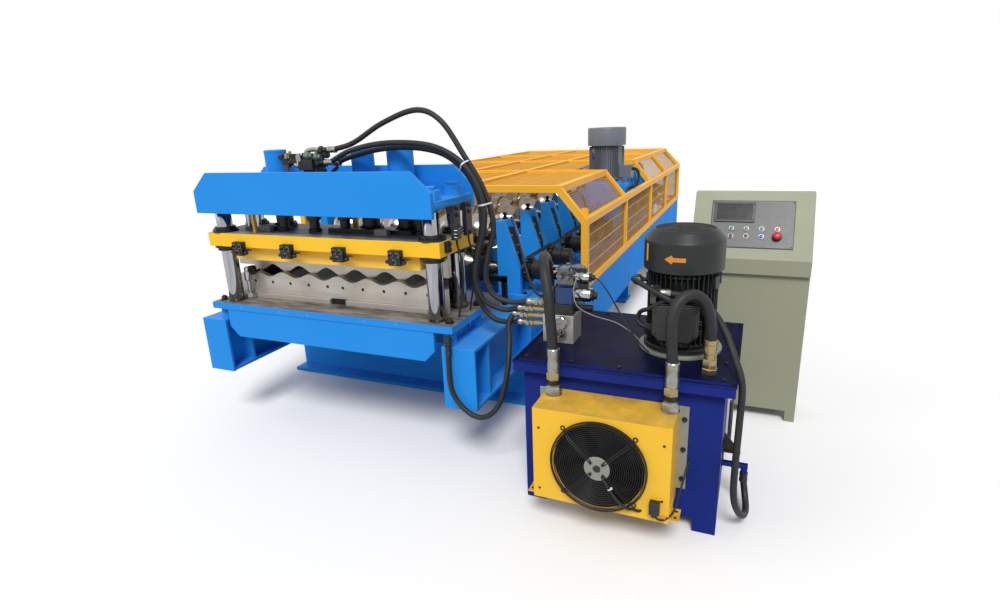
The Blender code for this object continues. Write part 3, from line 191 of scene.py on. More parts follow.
def pipe(points, radius, sides=8):
    """A round tube swept along the points, with a level frame carried from one to the next."""
    points = [Vector(point) for point in points]
    count = len(points)
    side = across(points[1] - points[0])[0]
    rings = []
    for i, point in enumerate(points):
        along = (points[min(i + 1, count - 1)] - points[max(i - 1, 0)]).normalized()
        side = (side - along * side.dot(along)).normalized()
        up = along.cross(side)
        ring = []
        for j in range(sides):
            angle = 2 * math.pi * j / sides
            offset = side * (radius * math.cos(angle)) + up * (radius * math.sin(angle))
            ring.append(DRAFT.verts.new(point + offset))
        rings.append(ring)
    skin_rings(rings)
    DRAFT.faces.new(rings[0])
    DRAFT.faces.new(rings[-1])


def smooth(points, step):
    """Evenly spaced points on a curve through the route, straight over its first and last leg."""
    points = [Vector(point) for point in points]
    fine = []
    for p0, p1, p2, p3 in zip(points, points[1:], points[2:], points[3:]):
        for k in range(40):
            t = k / 40
            square, cube = 2 * p0 - 5 * p1 + 4 * p2 - p3, 3 * p1 - p0 - 3 * p2 + p3
            fine.append(0.5 * (2 * p1 + (p2 - p0) * t + square * t * t + cube * t ** 3))
    fine.append(points[-2])
    total = sum((b - a).length for a, b in zip(fine, fine[1:]))
    count = max(4, round(total / step))
    chosen, walked = [points[0], fine[0]], 0.0
    for a, b in zip(fine, fine[1:]):
        walked += (b - a).length
        if walked >= (len(chosen) - 1) * total / count and len(chosen) <= count:
            chosen.append(b)
    if (chosen[-1] - fine[-1]).length > step / 2:
        chosen.append(fine[-1])
    return [*chosen, points[-1]]


CABLE_STEP = 0.01


def curved(points):
    """A smooth line through every point, for a thin cable."""
    points = [Vector(point) for point in points]
    first = points[0] * 2 - points[1]
    last = points[-1] * 2 - points[-2]
    return smooth([first, *points, last], CABLE_STEP)[1:-1]


PLANES = {"X": (Y, Z), "Y": (X, Z), "Z": (X, Y)}


def ring(centre, radius, count, axis="Z", start=0.5):
    """Evenly spaced spots on a circle square to an axis, each with its direction from the centre."""
    one, two = PLANES[axis]
    for k in range(count):
        angle = 2 * math.pi * (k + start) / count
        way = one * math.cos(angle) + two * math.sin(angle)
        yield Vector(centre) + way * radius, way


def piece(name, look, body=MACHINE, bevel=0.0, replaces=(), sharp=35, bm=DRAFT):
    """Turns the shapes into one object that moves with a body."""
    bmesh.ops.recalc_face_normals(bm, faces=bm.faces)
    mesh = bpy.data.meshes.new(name)
    bm.to_mesh(mesh)
    bm.clear()
    mesh.shade_smooth()
    mesh.set_sharp_from_angle(angle=math.radians(sharp))
    mesh.materials.append(look.material)
    made = bpy.data.objects.new(name, mesh)
    bpy.context.scene.collection.objects.link(made)
    if bevel:
        soften(made, bevel)
    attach(made, body)
    if replaces:
        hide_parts(*replaces)
    return made


def soften(made, width, harden=True):
    """A narrow rounded edge wherever two faces meet sharply."""
    edge = made.modifiers.new("edge", "BEVEL")
    edge.width = width
    edge.segments = 2
    edge.limit_method = "ANGLE"
    edge.angle_limit = math.radians(32)
    edge.harden_normals = harden


# Finishes

def screen(red, green, blue):
    """A colour as a screen shows it, 0 to 255, turned into the values a shader takes."""
    return tuple(((c / 255 + 0.055) / 1.055) ** 2.4 for c in (red, green, blue)) + (1.0,)


def shade(colour, factor):
    """The same colour, darker or lighter."""
    return tuple(c * factor for c in colour[:3]) + (1.0,)


class Look:
    """A node material: two tones mixed by noise, with its own roughness and fine relief.

    Its slot is the record's, and bare metal if the table below doesn't name it.
    """

    def __init__(self, name, colour, other=None, roughness=0.4, metallic=0.0, scale=5.0,
                 stretch=(1, 1, 1), spread=0.06, bump=0.0, grain=250.0, coat=0.0, gloss=0.5):
        self.material = bpy.data.materials.new(name)
        self.slot = "bare_steel"
        self.material.use_nodes = True
        self.tree = self.material.node_tree
        self.shader = self.tree.nodes["Principled BSDF"]
        self.shader.inputs["Metallic"].default_value = metallic
        self.shader.inputs["Coat Weight"].default_value = coat
        self.shader.inputs["Coat Roughness"].default_value = 0.12
        self.shader.inputs["Specular IOR Level"].default_value = gloss
        self.place = self.node("ShaderNodeTexCoord").outputs["Object"]
        self.mottle = self.noise(scale, 5.0, stretch)
        self.colour = self.mix(self.mottle, colour, other or shade(screen(*colour), 0.88))
        rough = self.range(self.mottle, 0.25, 0.75, roughness - spread, roughness + spread)
        self.tree.links.new(rough, self.shader.inputs["Roughness"])
        self.grain = self.noise(grain, 3.0, stretch)
        if bump:
            relief = self.node("ShaderNodeBump")
            relief.inputs["Strength"].default_value = bump
            relief.inputs["Distance"].default_value = 0.001
            self.tree.links.new(self.grain, relief.inputs["Height"])
            self.tree.links.new(relief.outputs[0], self.shader.inputs["Normal"])
        self.tree.links.new(self.colour, self.shader.inputs["Base Color"])

    def node(self, kind):
        return self.tree.nodes.new(kind)

    def noise(self, scale, detail, stretch=(1, 1, 1), roughness=0.6):
        mapping = self.node("ShaderNodeMapping")
        mapping.inputs["Scale"].default_value = stretch
        self.tree.links.new(self.place, mapping.inputs["Vector"])
        texture = self.node("ShaderNodeTexNoise")
        texture.inputs["Scale"].default_value = scale
        texture.inputs["Detail"].default_value = detail
        texture.inputs["Roughness"].default_value = roughness
        self.tree.links.new(mapping.outputs[0], texture.inputs["Vector"])
        return texture.outputs["Fac"]

    def range(self, value, low, high, to_low, to_high):
        made = self.node("ShaderNodeMapRange")
        limits = {"From Min": low, "From Max": high, "To Min": to_low, "To Max": to_high}
        for socket, number in limits.items():
            made.inputs[socket].default_value = number
        self.tree.links.new(value, made.inputs["Value"])
        return made.outputs["Result"]

    def mix(self, factor, one, two):
        """Mixes two colours: a socket, three values as on a screen, or a shader's four."""
        made = self.node("ShaderNodeMix")
        made.data_type = "RGBA"
        self.tree.links.new(factor, made.inputs["Factor"])
        for socket, value in (("A", one), ("B", two)):
            slot = [s for s in made.inputs if s.name == socket and s.type == "RGBA"][0]
            if isinstance(value, bpy.types.NodeSocket):
                self.tree.links.new(value, slot)
            else:
                slot.default_value = screen(*value) if len(value) == 3 else value
        return [s for s in made.outputs if s.type == "RGBA"][0]

    def over(self, factor, colour):
        """Lays another colour over what is there."""
        self.colour = self.mix(factor, self.colour, colour)
        self.tree.links.new(self.colour, self.shader.inputs["Base Color"])
        return self

    def multiply(self, one, two):
        made = self.node("ShaderNodeMath")
        made.operation = "MULTIPLY"
        self.tree.links.new(one, made.inputs[0])
        self.tree.links.new(two, made.inputs[1])
        return made.outputs[0]

    def dust_and_painted_reflection(self, colour, amount, scale=9.0, least=0.2):
        """A colour laid on what faces up, in patches: dust on the blue paint and the cooler, and a painted
        dark reflection on the navy paint.
        """
        split = self.node("ShaderNodeSeparateXYZ")
        normal = self.node("ShaderNodeNewGeometry").outputs["Normal"]
        self.tree.links.new(normal, split.inputs[0])
        level = self.range(split.outputs["Z"], 0.55, 0.95, 0.0, amount)
        patches = self.range(self.noise(scale, 6.0), 0.35, 0.7, least, 1.0)
        return self.over(self.multiply(level, patches), colour)

    def scratches(self, colour, amount, scale, stretch, low=0.62, high=0.72):
        marks = self.range(self.noise(scale, 8.0, stretch, 0.7), low, high, 0.0, amount)
        return self.over(marks, colour)


DUST = (150, 148, 140)
BLUE, DEEP_BLUE = (44, 148, 234), (34, 138, 226)
blue = Look("blue_paint", BLUE, DEEP_BLUE, 0.46, scale=2.2, bump=0.05, grain=350, gloss=0.12)
blue.dust_and_painted_reflection(DUST, 0.16).scratches((90, 165, 225), 0.22, 30, (1, 1, 6), 0.7, 0.78)
cover_blue = Look("cover_blue", (58, 158, 255), (48, 148, 248), 0.55, scale=2.2, bump=0.05, grain=350,
    gloss=0.01)
worn_blue = Look("worn_blue", (104, 168, 226), (60, 138, 214), 0.4, scale=60)
navy = Look("navy_paint", (36, 54, 146), (26, 36, 100), 0.4, scale=3, bump=0.05, grain=300, gloss=0.04)
# Painted reflection: near black over the navy's upward faces, such as the tank lid, stands in for the dark
# surroundings they mirror.
navy.dust_and_painted_reflection((9, 9, 20), 0.97, least=0.85)
YELLOW, DEEP_YELLOW = (255, 204, 58), (252, 194, 46)
yellow = Look("yellow_paint", YELLOW, DEEP_YELLOW, 0.38, scale=3, bump=0.05, grain=350, coat=0.1)
yellow.scratches((120, 90, 40), 0.35, 26, (1, 1, 4), 0.71, 0.8)
cage_yellow = Look("cage_yellow", (252, 190, 56), (242, 174, 44), 0.45, scale=6, bump=0.08, grain=300,
    gloss=0.25)
cage_yellow.scratches((150, 105, 40), 0.4, 24, (1, 1, 1), 0.68, 0.78)
# Painted shade: a darker brown copy of the cage yellow for the side, slope and end wires, while the roof's
# wires keep the cage yellow.
wire_yellow_painted_shade = Look("wire_yellow_painted_shade", (208, 162, 82), (164, 122, 60), 0.5, scale=14, gloss=0.15)
# Near black: the real black of the fan, its shroud and the bearing covers, and painted shade on the run-out
# guide and on the die behind the upper blade, which stand for the dark inside of the press.
black_and_painted_shade = Look("deep_black_and_painted_shade", (15, 15, 16), (9, 9, 10), 0.45, scale=12, gloss=0.15)
cooler_yellow = Look("cooler_yellow", (247, 196, 50), (240, 184, 40), 0.42, scale=3, bump=0.1, grain=260)
cooler_yellow.dust_and_painted_reflection((168, 134, 66), 0.9)
steel = Look("ground_steel", (205, 200, 192), (176, 170, 162), 0.36, metallic=0.55, scale=9,
    stretch=(1, 1, 3), spread=0.08, bump=0.1, grain=500)
steel.scratches((120, 115, 108), 0.45, 40, (0.3, 1, 6), 0.62, 0.75)
dark_steel = Look("mill_steel", (92, 87, 84), (62, 58, 57), 0.34, metallic=0.75, scale=5,
    stretch=(1, 2.5, 1), spread=0.1, bump=0.12, grain=300)
# Chrome: its darker tone, laid in upright streaks, is painted reflection, the dark and bright stripes a
# polished column shows.
chrome = Look("chrome", (206, 208, 212), (104, 108, 114), 0.12, metallic=1.0, scale=16,
    stretch=(5, 5, 0.25), spread=0.03)
roller_chrome = Look("roller_chrome", (178, 172, 162), (128, 120, 112), 0.22, metallic=1.0, scale=10,
    stretch=(6, 1, 1), spread=0.06)
black = Look("black_oxide", (34, 34, 35), (22, 22, 23), 0.42, metallic=0.3, scale=20, bump=0.08, grain=400)
iron = Look("dark_iron", (58, 57, 58), (40, 39, 40), 0.45, metallic=0.5, scale=12, bump=0.12, grain=300)
plastic = Look("black_plastic", (30, 31, 32), (24, 25, 26), 0.38, scale=20, bump=0.06, grain=500)
rubber = Look("hose_rubber", (36, 37, 39), (25, 26, 28), 0.52, scale=30, bump=0.25, grain=700, gloss=0.35)
brass = Look("brass", (178, 162, 118), (138, 122, 84), 0.3, metallic=0.9, scale=60)
zinc = Look("bright_zinc", (172, 172, 165), (122, 122, 117), 0.3, metallic=0.9, scale=60)
cast_metal = Look("cast_metal", (128, 129, 131), (84, 85, 88), 0.36, metallic=0.8, scale=40, bump=0.1)
motor_green = Look("motor_green", (36, 40, 39), (29, 32, 31), 0.42, scale=8, bump=0.15, grain=220, gloss=0.35)
motor_grey = Look("motor_grey", (112, 117, 126), (96, 101, 110), 0.45, scale=8, bump=0.15, grain=220)
console_paint = Look("console_paint", (160, 162, 139), (150, 152, 130), 0.48, scale=3, bump=0.18, grain=420,
    gloss=0.2)
panel_grey = Look("panel_grey", (96, 95, 97), (84, 83, 85), 0.36, scale=30, stretch=(1, 12, 1), bump=0.05,
    gloss=0.4)
flange_grey = Look("flange_grey", (150, 152, 142), (128, 130, 120), 0.45, scale=10)
glass_dark = Look("screen_dark", (44, 44, 48), (60, 60, 62), 0.14, scale=40, spread=0.02, gloss=0.4)
white = Look("white_plastic", (232, 232, 228), (214, 214, 210), 0.4, scale=20)
green = Look("green_button", (22, 140, 70), None, 0.35, scale=20)
red = Look("red_button", (205, 40, 40), None, 0.35, scale=20)
sign_blue = Look("blue_button", (35, 70, 190), None, 0.35, scale=20)
orange = Look("orange_mark", (228, 140, 48), None, 0.45, scale=20)
red_oxide = Look("red_primer", (140, 42, 34), (112, 34, 30), 0.55, scale=20, bump=0.1)
copper = Look("copper", (196, 120, 82), (150, 88, 60), 0.3, metallic=0.9, scale=30)
blue_valve = Look("valve_blue", (34, 62, 120), (26, 48, 98), 0.4, scale=12, bump=0.1)


BED_TOP, PLATEN_TOP = 0.739, 1.121


def half_steel(name, paint, other, base, bare, height):
    """Paint with bare metal on the level face at this height."""
    made = Look(name, paint, other, 0.42, scale=2.2, bump=0.05, grain=350, gloss=0.12)
    split = made.node("ShaderNodeSeparateXYZ")
    geometry = made.node("ShaderNodeNewGeometry")
    made.tree.links.new(geometry.outputs["Normal"], split.inputs[0])
    up = made.range(split.outputs["Z"], 0.8, 0.9, 0.0, 1.0)
    place = made.node("ShaderNodeSeparateXYZ")
    made.tree.links.new(made.place, place.inputs[0])
    high = made.range(place.outputs["Z"], height - 0.003, height - 0.001, 0.0, 1.0)
    made.over(made.multiply(up, high), base)
    streaks = made.range(made.noise(6, 8, (0.5, 2.2, 1), 0.75), 0.38, 0.6, 0.0, 1.0)
    made.over(made.multiply(made.multiply(up, high), streaks), bare)
    return made


bed_finish = half_steel("bed_finish", BLUE, DEEP_BLUE, (146, 140, 135), (62, 57, 54), BED_TOP)
platen_finish = half_steel("platen_finish", YELLOW, DEEP_YELLOW, (168, 165, 162), (98, 95, 93), PLATEN_TOP)
fitting_green = Look("fitting_green", (120, 138, 118), (84, 98, 84), 0.38, metallic=0.5, scale=20)

for slot, looks in (
    ("blue_paint", (blue, cover_blue, worn_blue, bed_finish, sign_blue, blue_valve)),
    ("navy_paint", (navy,)),
    ("yellow_paint", (yellow, platen_finish, cage_yellow, wire_yellow_painted_shade, cooler_yellow, orange)),
    ("chrome", (chrome, roller_chrome)),
    ("black_finish", (black, iron, plastic, black_and_painted_shade, glass_dark)),
    ("black_rubber", (rubber,)),
    ("motor_green", (motor_green, green)),
    ("motor_grey", (motor_grey,)),
    ("console_paint", (console_paint, white)),
    ("panel_grey", (panel_grey, flange_grey)),
):
    for look in looks:
        look.slot = slot


# Camera, light and floor. The photograph is 1000 by 600 pixels.

SENSOR, FOCAL = 36.0, 0.589608
EYE = (1.958, -3.074, 1.611)
WORLD_LIGHT = 0.5
FLOOR_BOUNCE, FLOOR_WHITE = 0.46, 0.95
FLOOR_REACH = 30.0


def make_camera():
    """The photograph's camera."""
    data = bpy.data.cameras.new("camera")
    data.sensor_width = SENSOR
    data.lens = SENSOR * FOCAL
    data.clip_end = 200.0
    right = Vector((0.91924, 0.3918, -0.03855))
    up = Vector((-0.07816, 0.2776, 0.95751))
    back = right.cross(up).normalized()
    up = back.cross(right).normalized()
    turn = Matrix((right.normalized(), up, back)).transposed().to_4x4()
    camera = bpy.data.objects.new("camera", data)
    bpy.context.scene.collection.objects.link(camera)
    camera.matrix_world = Matrix.Translation(EYE) @ turn
    bpy.context.scene.camera = camera


def make_sun(name, direction, strength, angle):
    """A sun that stands in a direction seen from the machine."""
    data = bpy.data.lights.new(name, "SUN")
    data.energy = strength
    data.angle = math.radians(angle)
    lamp = bpy.data.objects.new(name, data)
    lamp.rotation_mode = "QUATERNION"
    lamp.rotation_quaternion = (-Vector(direction)).to_track_quat("-Z", "Y")
    bpy.context.scene.collection.objects.link(lamp)


def shown_rays(tree):
    """1 for rays that show the backdrop: from the camera, through glass or off metal."""
    rays = tree.nodes.new("ShaderNodeLightPath")
    value = rays.outputs["Is Camera Ray"]
    for other in ("Is Transmission Ray", "Is Glossy Ray"):
        larger = tree.nodes.new("ShaderNodeMath")
        larger.operation = "MAXIMUM"
        tree.links.new(value, larger.inputs[0])
        tree.links.new(rays.outputs[other], larger.inputs[1])
        value = larger.outputs[0]
    return value


def floor_tone(tree):
    """White paper to the eye, with less light thrown back up at the machine."""
    tone = tree.nodes.new("ShaderNodeMapRange")
    tone.inputs["To Min"].default_value = FLOOR_BOUNCE
    tone.inputs["To Max"].default_value = FLOOR_WHITE
    tree.links.new(shown_rays(tree), tone.inputs["Value"])
    return tone.outputs["Result"]


def make_stage():
    """White studio: world light, two suns and the floor."""
    world = bpy.data.worlds.new("studio")
    bpy.context.scene.world = world
    world.use_nodes = True
    tree = world.node_tree
    background = tree.nodes["Background"]
    background.inputs["Color"].default_value = (1.0, 1.0, 1.0, 1.0)
    strength = tree.nodes.new("ShaderNodeMapRange")
    strength.inputs["To Min"].default_value = WORLD_LIGHT
    strength.inputs["To Max"].default_value = 1.0
    tree.links.new(shown_rays(tree), strength.inputs["Value"])
    tree.links.new(strength.outputs["Result"], background.inputs["Strength"])
    make_sun("key", (0.3, -0.95, 1.15), 2.3, 20)
    make_sun("fill", (-0.8, -0.5, 0.6), 0.35, 40)
    floor_look = bpy.data.materials.new("floor_paper")
    floor_look.use_nodes = True
    shader = floor_look.node_tree.nodes["Principled BSDF"]
    floor_look.node_tree.links.new(floor_tone(floor_look.node_tree), shader.inputs["Base Color"])
    shader.inputs["Roughness"].default_value = 0.9
    shader.inputs["Specular IOR Level"].default_value = 0.0
    mesh = bpy.data.meshes.new("floor")
    corners = [(x * FLOOR_REACH, y * FLOOR_REACH, 0) for x, y in ((-1, -1), (1, -1), (1, 1), (-1, 1))]
    mesh.from_pydata(corners, [], [(0, 1, 2, 3)])
    mesh.materials.append(floor_look)
    floor = bpy.data.objects.new("floor", mesh)
    floor.location = (0, 0, -0.001)
    bpy.context.scene.collection.objects.link(floor)


make_camera()
make_stage()
bpy.context.scene.view_settings.view_transform = "Standard"


# Hoses. Each route repeats the points of the CAD part's hose.

HOSE_RADIUS = 0.0125
COOLER_HOSE_RADIUS = 0.021
SIDE_HOSE_RADIUS = 0.0135
PORT_Y = -0.665

HOSES = {
    "hose_high": (HOSE_RADIUS, 1.72, [
        (0.0453, -0.712, 1.525), (0.0753, -0.712, 1.525), (0.2, -0.712, 1.553), (0.37, -0.71, 1.636),
        (0.545, -0.7, 1.685), (0.665, -0.7, 1.635), (0.77, -0.7, 1.485), (0.858, -0.7, 1.335),
        (0.897, -0.7, 1.18), (0.862, -0.7, 1.04), (0.848, -0.7, 0.93), (0.885, -0.695, 0.855),
        (0.96, -0.68, 0.826), (1.0447, PORT_Y, 0.832), (1.0747, PORT_Y, 0.832),
    ]),
    "hose_bundle_1": (HOSE_RADIUS, 1.64, [
        (0.0453, -0.745, 1.467), (0.0753, -0.745, 1.467), (0.2, -0.745, 1.518), (0.36, -0.735, 1.546),
        (0.53, -0.73, 1.545), (0.66, -0.73, 1.521), (0.765, -0.73, 1.462), (0.832, -0.73, 1.375),
        (0.866, -0.73, 1.27), (0.862, -0.728, 1.17), (0.822, -0.722, 1.04), (0.803, -0.715, 0.93),
        (0.835, -0.7, 0.83), (0.92, -0.675, 0.785), (0.9997, PORT_Y, 0.8), (1.0297, PORT_Y, 0.8),
    ]),
    "hose_bundle_2": (HOSE_RADIUS, 1.67, [
        (0.0453, -0.69, 1.462), (0.0753, -0.69, 1.462), (0.18, -0.7, 1.492), (0.34, -0.695, 1.521),
        (0.51, -0.69, 1.524), (0.65, -0.69, 1.497), (0.745, -0.69, 1.437), (0.806, -0.69, 1.357),
        (0.833, -0.69, 1.26), (0.828, -0.685, 1.15), (0.793, -0.672, 1.04), (0.775, -0.665, 0.93),
        (0.79, -0.665, 0.82), (0.86, -0.665, 0.735), (0.94, -0.665, 0.722), (0.9997, PORT_Y, 0.732),
        (1.0297, PORT_Y, 0.732),
    ]),
    "hose_bed_loop": (HOSE_RADIUS, 1.0, [
        (0.722, -0.872, 0.6477), (0.722, -0.872, 0.618), (0.72, -0.874, 0.574),
        (0.732, -0.878, 0.43), (0.81, -0.88, 0.338), (0.895, -0.875, 0.325), (0.962, -0.86, 0.4),
        (0.992, -0.83, 0.539), (0.98, -0.765, 0.66), (0.955, -0.7, 0.735),
        (0.9727, PORT_Y, 0.768), (1.0027, PORT_Y, 0.768),
    ]),
    "hose_cooler_left": (COOLER_HOSE_RADIUS, 0.75, [
        (1.263, -0.99, 0.7023), (1.263, -0.99, 0.732), (1.25, -0.985, 0.89),
        (1.234, -0.965, 0.985), (1.207, -0.92, 1.055), (1.18, -0.84, 1.085),
        (1.162, -0.755, 1.055), (1.156, -0.705, 0.97), (1.155, -0.695, 0.9066),
        (1.155, -0.695, 0.8766),
    ]),
    "hose_cooler_right": (COOLER_HOSE_RADIUS, 0.61, [
        (1.724, -0.99, 0.7023), (1.724, -0.99, 0.732), (1.714, -0.985, 0.84),
        (1.712, -0.975, 0.915), (1.733, -0.95, 0.972), (1.775, -0.92, 0.992),
        (1.814, -0.895, 0.962), (1.837, -0.877, 0.89), (1.845, -0.864, 0.7863),
        (1.845, -0.864, 0.7563),
    ]),
    "hose_tank_side": (SIDE_HOSE_RADIUS, 1.37, [
        (1.6403, -0.78, 0.95), (1.67, -0.78, 0.95), (1.75, -0.785, 0.942), (1.82, -0.79, 0.91),
        (1.876, -0.8, 0.846), (1.93, -0.86, 0.745), (1.9645, -0.895, 0.65),
        (1.966, -0.92, 0.5), (1.964, -0.935, 0.34), (1.967, -0.925, 0.2),
        (1.985, -0.89, 0.11), (2.008, -0.84, 0.058), (2.018, -0.775, 0.048),
        (2.01, -0.72, 0.085), (2.0, -0.7, 0.1397), (2.0, -0.7, 0.1697),
    ]),
}


def make_hoses():
    """The seven cords, each over the CAD hose that it replaces."""
    for name, (radius, length, route) in HOSES.items():
        curve = bpy.data.curves.new(name + "_line", "CURVE")
        curve.dimensions = "3D"
        curve.bevel_depth = radius
        curve.bevel_resolution = 4
        curve.use_fill_caps = True
        line = curve.splines.new("POLY")
        points = smooth(route, 0.022)
        line.points.add(len(points) - 1)
        for slot, point in zip(line.points, points):
            slot.co = (*point, 1.0)
        line.use_smooth = True
        curve.materials.append(rubber.material)
        made = bpy.data.objects.new(name + "_rubber", curve)
        bpy.context.scene.collection.objects.link(made)
        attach(made, MACHINE)
        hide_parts(name)


make_hoses()


# CAD nodes that keep their shape and get a finish and softened edges

def finish_node(name, look, bevel):
    """Gives a CAD node its finish and softened edges."""
    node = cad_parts[name]
    node.data.materials.clear()
    node.data.materials.append(look.material)
    node.modifiers.new("weld", "WELD").merge_threshold = 0.0001
    soften(node, bevel, harden=False)
    node.modifiers.new("shading", "WEIGHTED_NORMAL").keep_sharp = True


KEPT = (
    (("base_frame", "stands_right", "stands_left"), blue, 0.0015),
    (("side_cover_right", "side_cover_left"), cover_blue, 0.0015),
    (("drive_gearbox",), blue, 0.0015),
    (("press_bed",), bed_finish, 0.002),
    (("guard_right", "guard_left", "guard_roof", "guard_end"), cage_yellow, 0.0015),
    (("oil_tank",), navy, 0.002),
    (("console_body",), console_paint, 0.004),
)
for names, look, width in KEPT:
    for name in names:
        finish_node(name, look, width)


def series(look, rows, sharp=35):
    """One piece, then its copies at further places, from rows of name, body, place and replaced node."""
    (name, body, place, replaces), *others = rows
    first = piece(name, look, body, replaces=replaces, sharp=sharp)
    first.matrix_world = Matrix.Translation(place)
    for name, body, place, replaces in others:
        twin = bpy.data.objects.new(name, first.data)
        twin.location = place
        bpy.context.scene.collection.objects.link(twin)
        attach(twin, body)
        if replaces:
            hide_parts(*replaces)


# Press: guide columns, platen, blades and the fittings between the cylinders

COLUMN_XS = (-0.629, 0.629)
COLUMN_YS = (-0.785, -0.56)
COLUMNS = [(x, y) for x in COLUMN_XS for y in COLUMN_YS]
COLUMN_RADIUS = 0.0395
BED_FACE = BED_TOP + GAP
BED_FRONT = -0.857
DECK_BOTTOM = 1.262
DECK_TOP = 1.298
PLATEN_LOW = 1.05
PLATEN_X, PLATEN_Y = 0.696, (-0.843, -0.5)
STRIP_X, STRIP_Y = 0.565, (-0.8, -0.67)
STRIP_LOW = 0.976
BUSHING_RADIUS, BUSHING_HEIGHT = 0.064, 0.028
CYLINDER_XS = (-0.38, 0.18, 0.39)
CYLINDER_Y = -0.605
CYLINDER_TOP = 1.527
WAVE = 0.1833
LOWER_BLADE_Y = (-0.7, -0.67)
UPPER_BLADE_Y = (-0.664, -0.634)
BLADE_HALF = 0.595


def wave_plate(flat_z, middle, swing, half, ys):
    """A plate with one flat edge and one smooth wavy edge."""
    steps = 240
    edge = []
    for i in range(steps + 1):
        x = -half + 2 * half * i / steps
        edge.append((x, middle + swing * math.cos(2 * math.pi * x / WAVE)))
    prism([(-half, flat_z), *edge, (half, flat_z)], "Y", *ys)


def make_columns():
    """Guide columns with a seat ring at each foot."""
    bottom = BED_FACE + GAP
    height = DECK_BOTTOM - GAP - bottom
    for name, (x, y) in zip(("left_front", "left_rear", "right_front", "right_rear"), COLUMNS):
        lathe((x, y, bottom), Z, [(0, COLUMN_RADIUS - 0.002), (0.002, COLUMN_RADIUS),
            (height - 0.002, COLUMN_RADIUS), (height, COLUMN_RADIUS - 0.002)], 64)
        piece(f"column_{name}_rod", chrome, replaces=("column_" + name,), sharp=50)
    for x, y in COLUMNS:
        lathe((x, y, BED_FACE), Z, [(0, 0.045), (0.004, 0.045), (0.005, 0.044),
            (0.005, COLUMN_RADIUS + 0.0005)], 48, capped=False)
    piece("column_seat_rings", dark_steel)


def make_platen():
    """The crosshead's plate and strip, its bushings, and the cylinders' rods and flanges."""
    block((-PLATEN_X, PLATEN_Y[0], PLATEN_LOW), (PLATEN_X, PLATEN_Y[1], PLATEN_TOP))
    piece("platen_plate", platen_finish, PRESS, 0.002, ("platen",))
    block((-STRIP_X, STRIP_Y[0], STRIP_LOW), (STRIP_X, STRIP_Y[1], PLATEN_LOW - GAP))
    piece("platen_strip", yellow, PRESS, 0.0015)
    for x, y in COLUMNS:
        for z, way in ((PLATEN_TOP, Z), (PLATEN_LOW, -Z)):
            lathe((x, y, z), way, [(0, BUSHING_RADIUS), (0.01, BUSHING_RADIUS),
                (0.012, BUSHING_RADIUS - 0.003), (0.013, 0.053), (BUSHING_HEIGHT - 0.003, 0.053),
                (BUSHING_HEIGHT, 0.05), (BUSHING_HEIGHT, COLUMN_RADIUS + 0.001)], 40, capped=False)
            for spot, _ in ring((x, y, z), 0.0585, 6):
                cap_screw(spot + way * 0.011, way, 0.0045, 0.006)
    piece("platen_bushings", black, PRESS)
    dark = bmesh.new()
    for x in CYLINDER_XS:
        rod((x, CYLINDER_Y, PLATEN_TOP), (x, CYLINDER_Y, DECK_TOP + 0.05), 0.0295, 40)
        lathe((x, CYLINDER_Y, PLATEN_TOP), Z, [(0, 0.062), (0.02, 0.062), (0.023, 0.058), (0.024, 0.044),
            (0.062, 0.044), (0.066, 0.04), (0.066, 0.03)], 40, capped=False, bm=dark)
        for spot, _ in ring((x, CYLINDER_Y, PLATEN_TOP + 0.02), 0.053, 6, start=0):
            cap_screw(spot, Z, 0.006, 0.008, bm=dark)
    piece("press_rods", chrome, PRESS)
    piece("rod_flanges", black, PRESS, bm=dark)


def make_platen_details():
    """What stands on the platen between the cylinder rods: stops, springs and clamp plates."""
    for x, y in ((-0.3, -0.7), (-0.1, -0.7), (0.06, -0.66), (0.5, -0.66)):
        lathe((x, y, PLATEN_TOP), Z, [(0, 0.034), (0.016, 0.034), (0.018, 0.026), (0.058, 0.026),
            (0.06, 0.036), (0.088, 0.036), (0.092, 0.032)], 32)
        nut((x, y, PLATEN_TOP + 0.092), Z, 0.02, 0.012)
    for x0, x1 in ((-0.47, -0.34), (-0.02, 0.26), (0.33, 0.47)):
        block((x0, -0.7, PLATEN_TOP), (x1, -0.665, PLATEN_TOP + 0.02))
    piece("platen_stops", black, PRESS, 0.0015)
    for x in (-0.545, -0.475):
        rod((x, -0.7, PLATEN_TOP), (x, -0.7, 1.235), 0.014, 24)
    for x in (0.455, 0.52):
        rod((x, -0.62, PLATEN_TOP), (x, -0.62, 1.235), 0.014, 24)
    piece("platen_return_rods", chrome, PRESS)
    for x in (-0.545, -0.475):
        lathe((x, -0.7, PLATEN_TOP), Z, [(0, 0.024), (0.012, 0.024), (0.014, 0.02)], 24)
    for x0, x1 in ((-0.43, -0.36), (0.29, 0.36)):
        block((x0, -0.745, PLATEN_TOP), (x1, -0.715, PLATEN_TOP + 0.03))
    piece("platen_grey_blocks", flange_grey, PRESS, 0.001)
    block((-0.425, -0.795, PLATEN_TOP), (-0.412, -0.78, PLATEN_TOP + 0.095))
    block((0.02, -0.55, PLATEN_TOP), (0.05, -0.535, PLATEN_TOP + 0.06))
    piece("platen_yellow_tabs", yellow, PRESS, 0.001)


CLAMP_PITCH, CLAMP_Z = 0.316, 1.047
CLAMP_FRONT, CLAMP_BACK = -0.873, -0.8433
CLAMP_SCREWS = ((-0.016, 0.015), (0.016, 0.015), (0.0, -0.017))


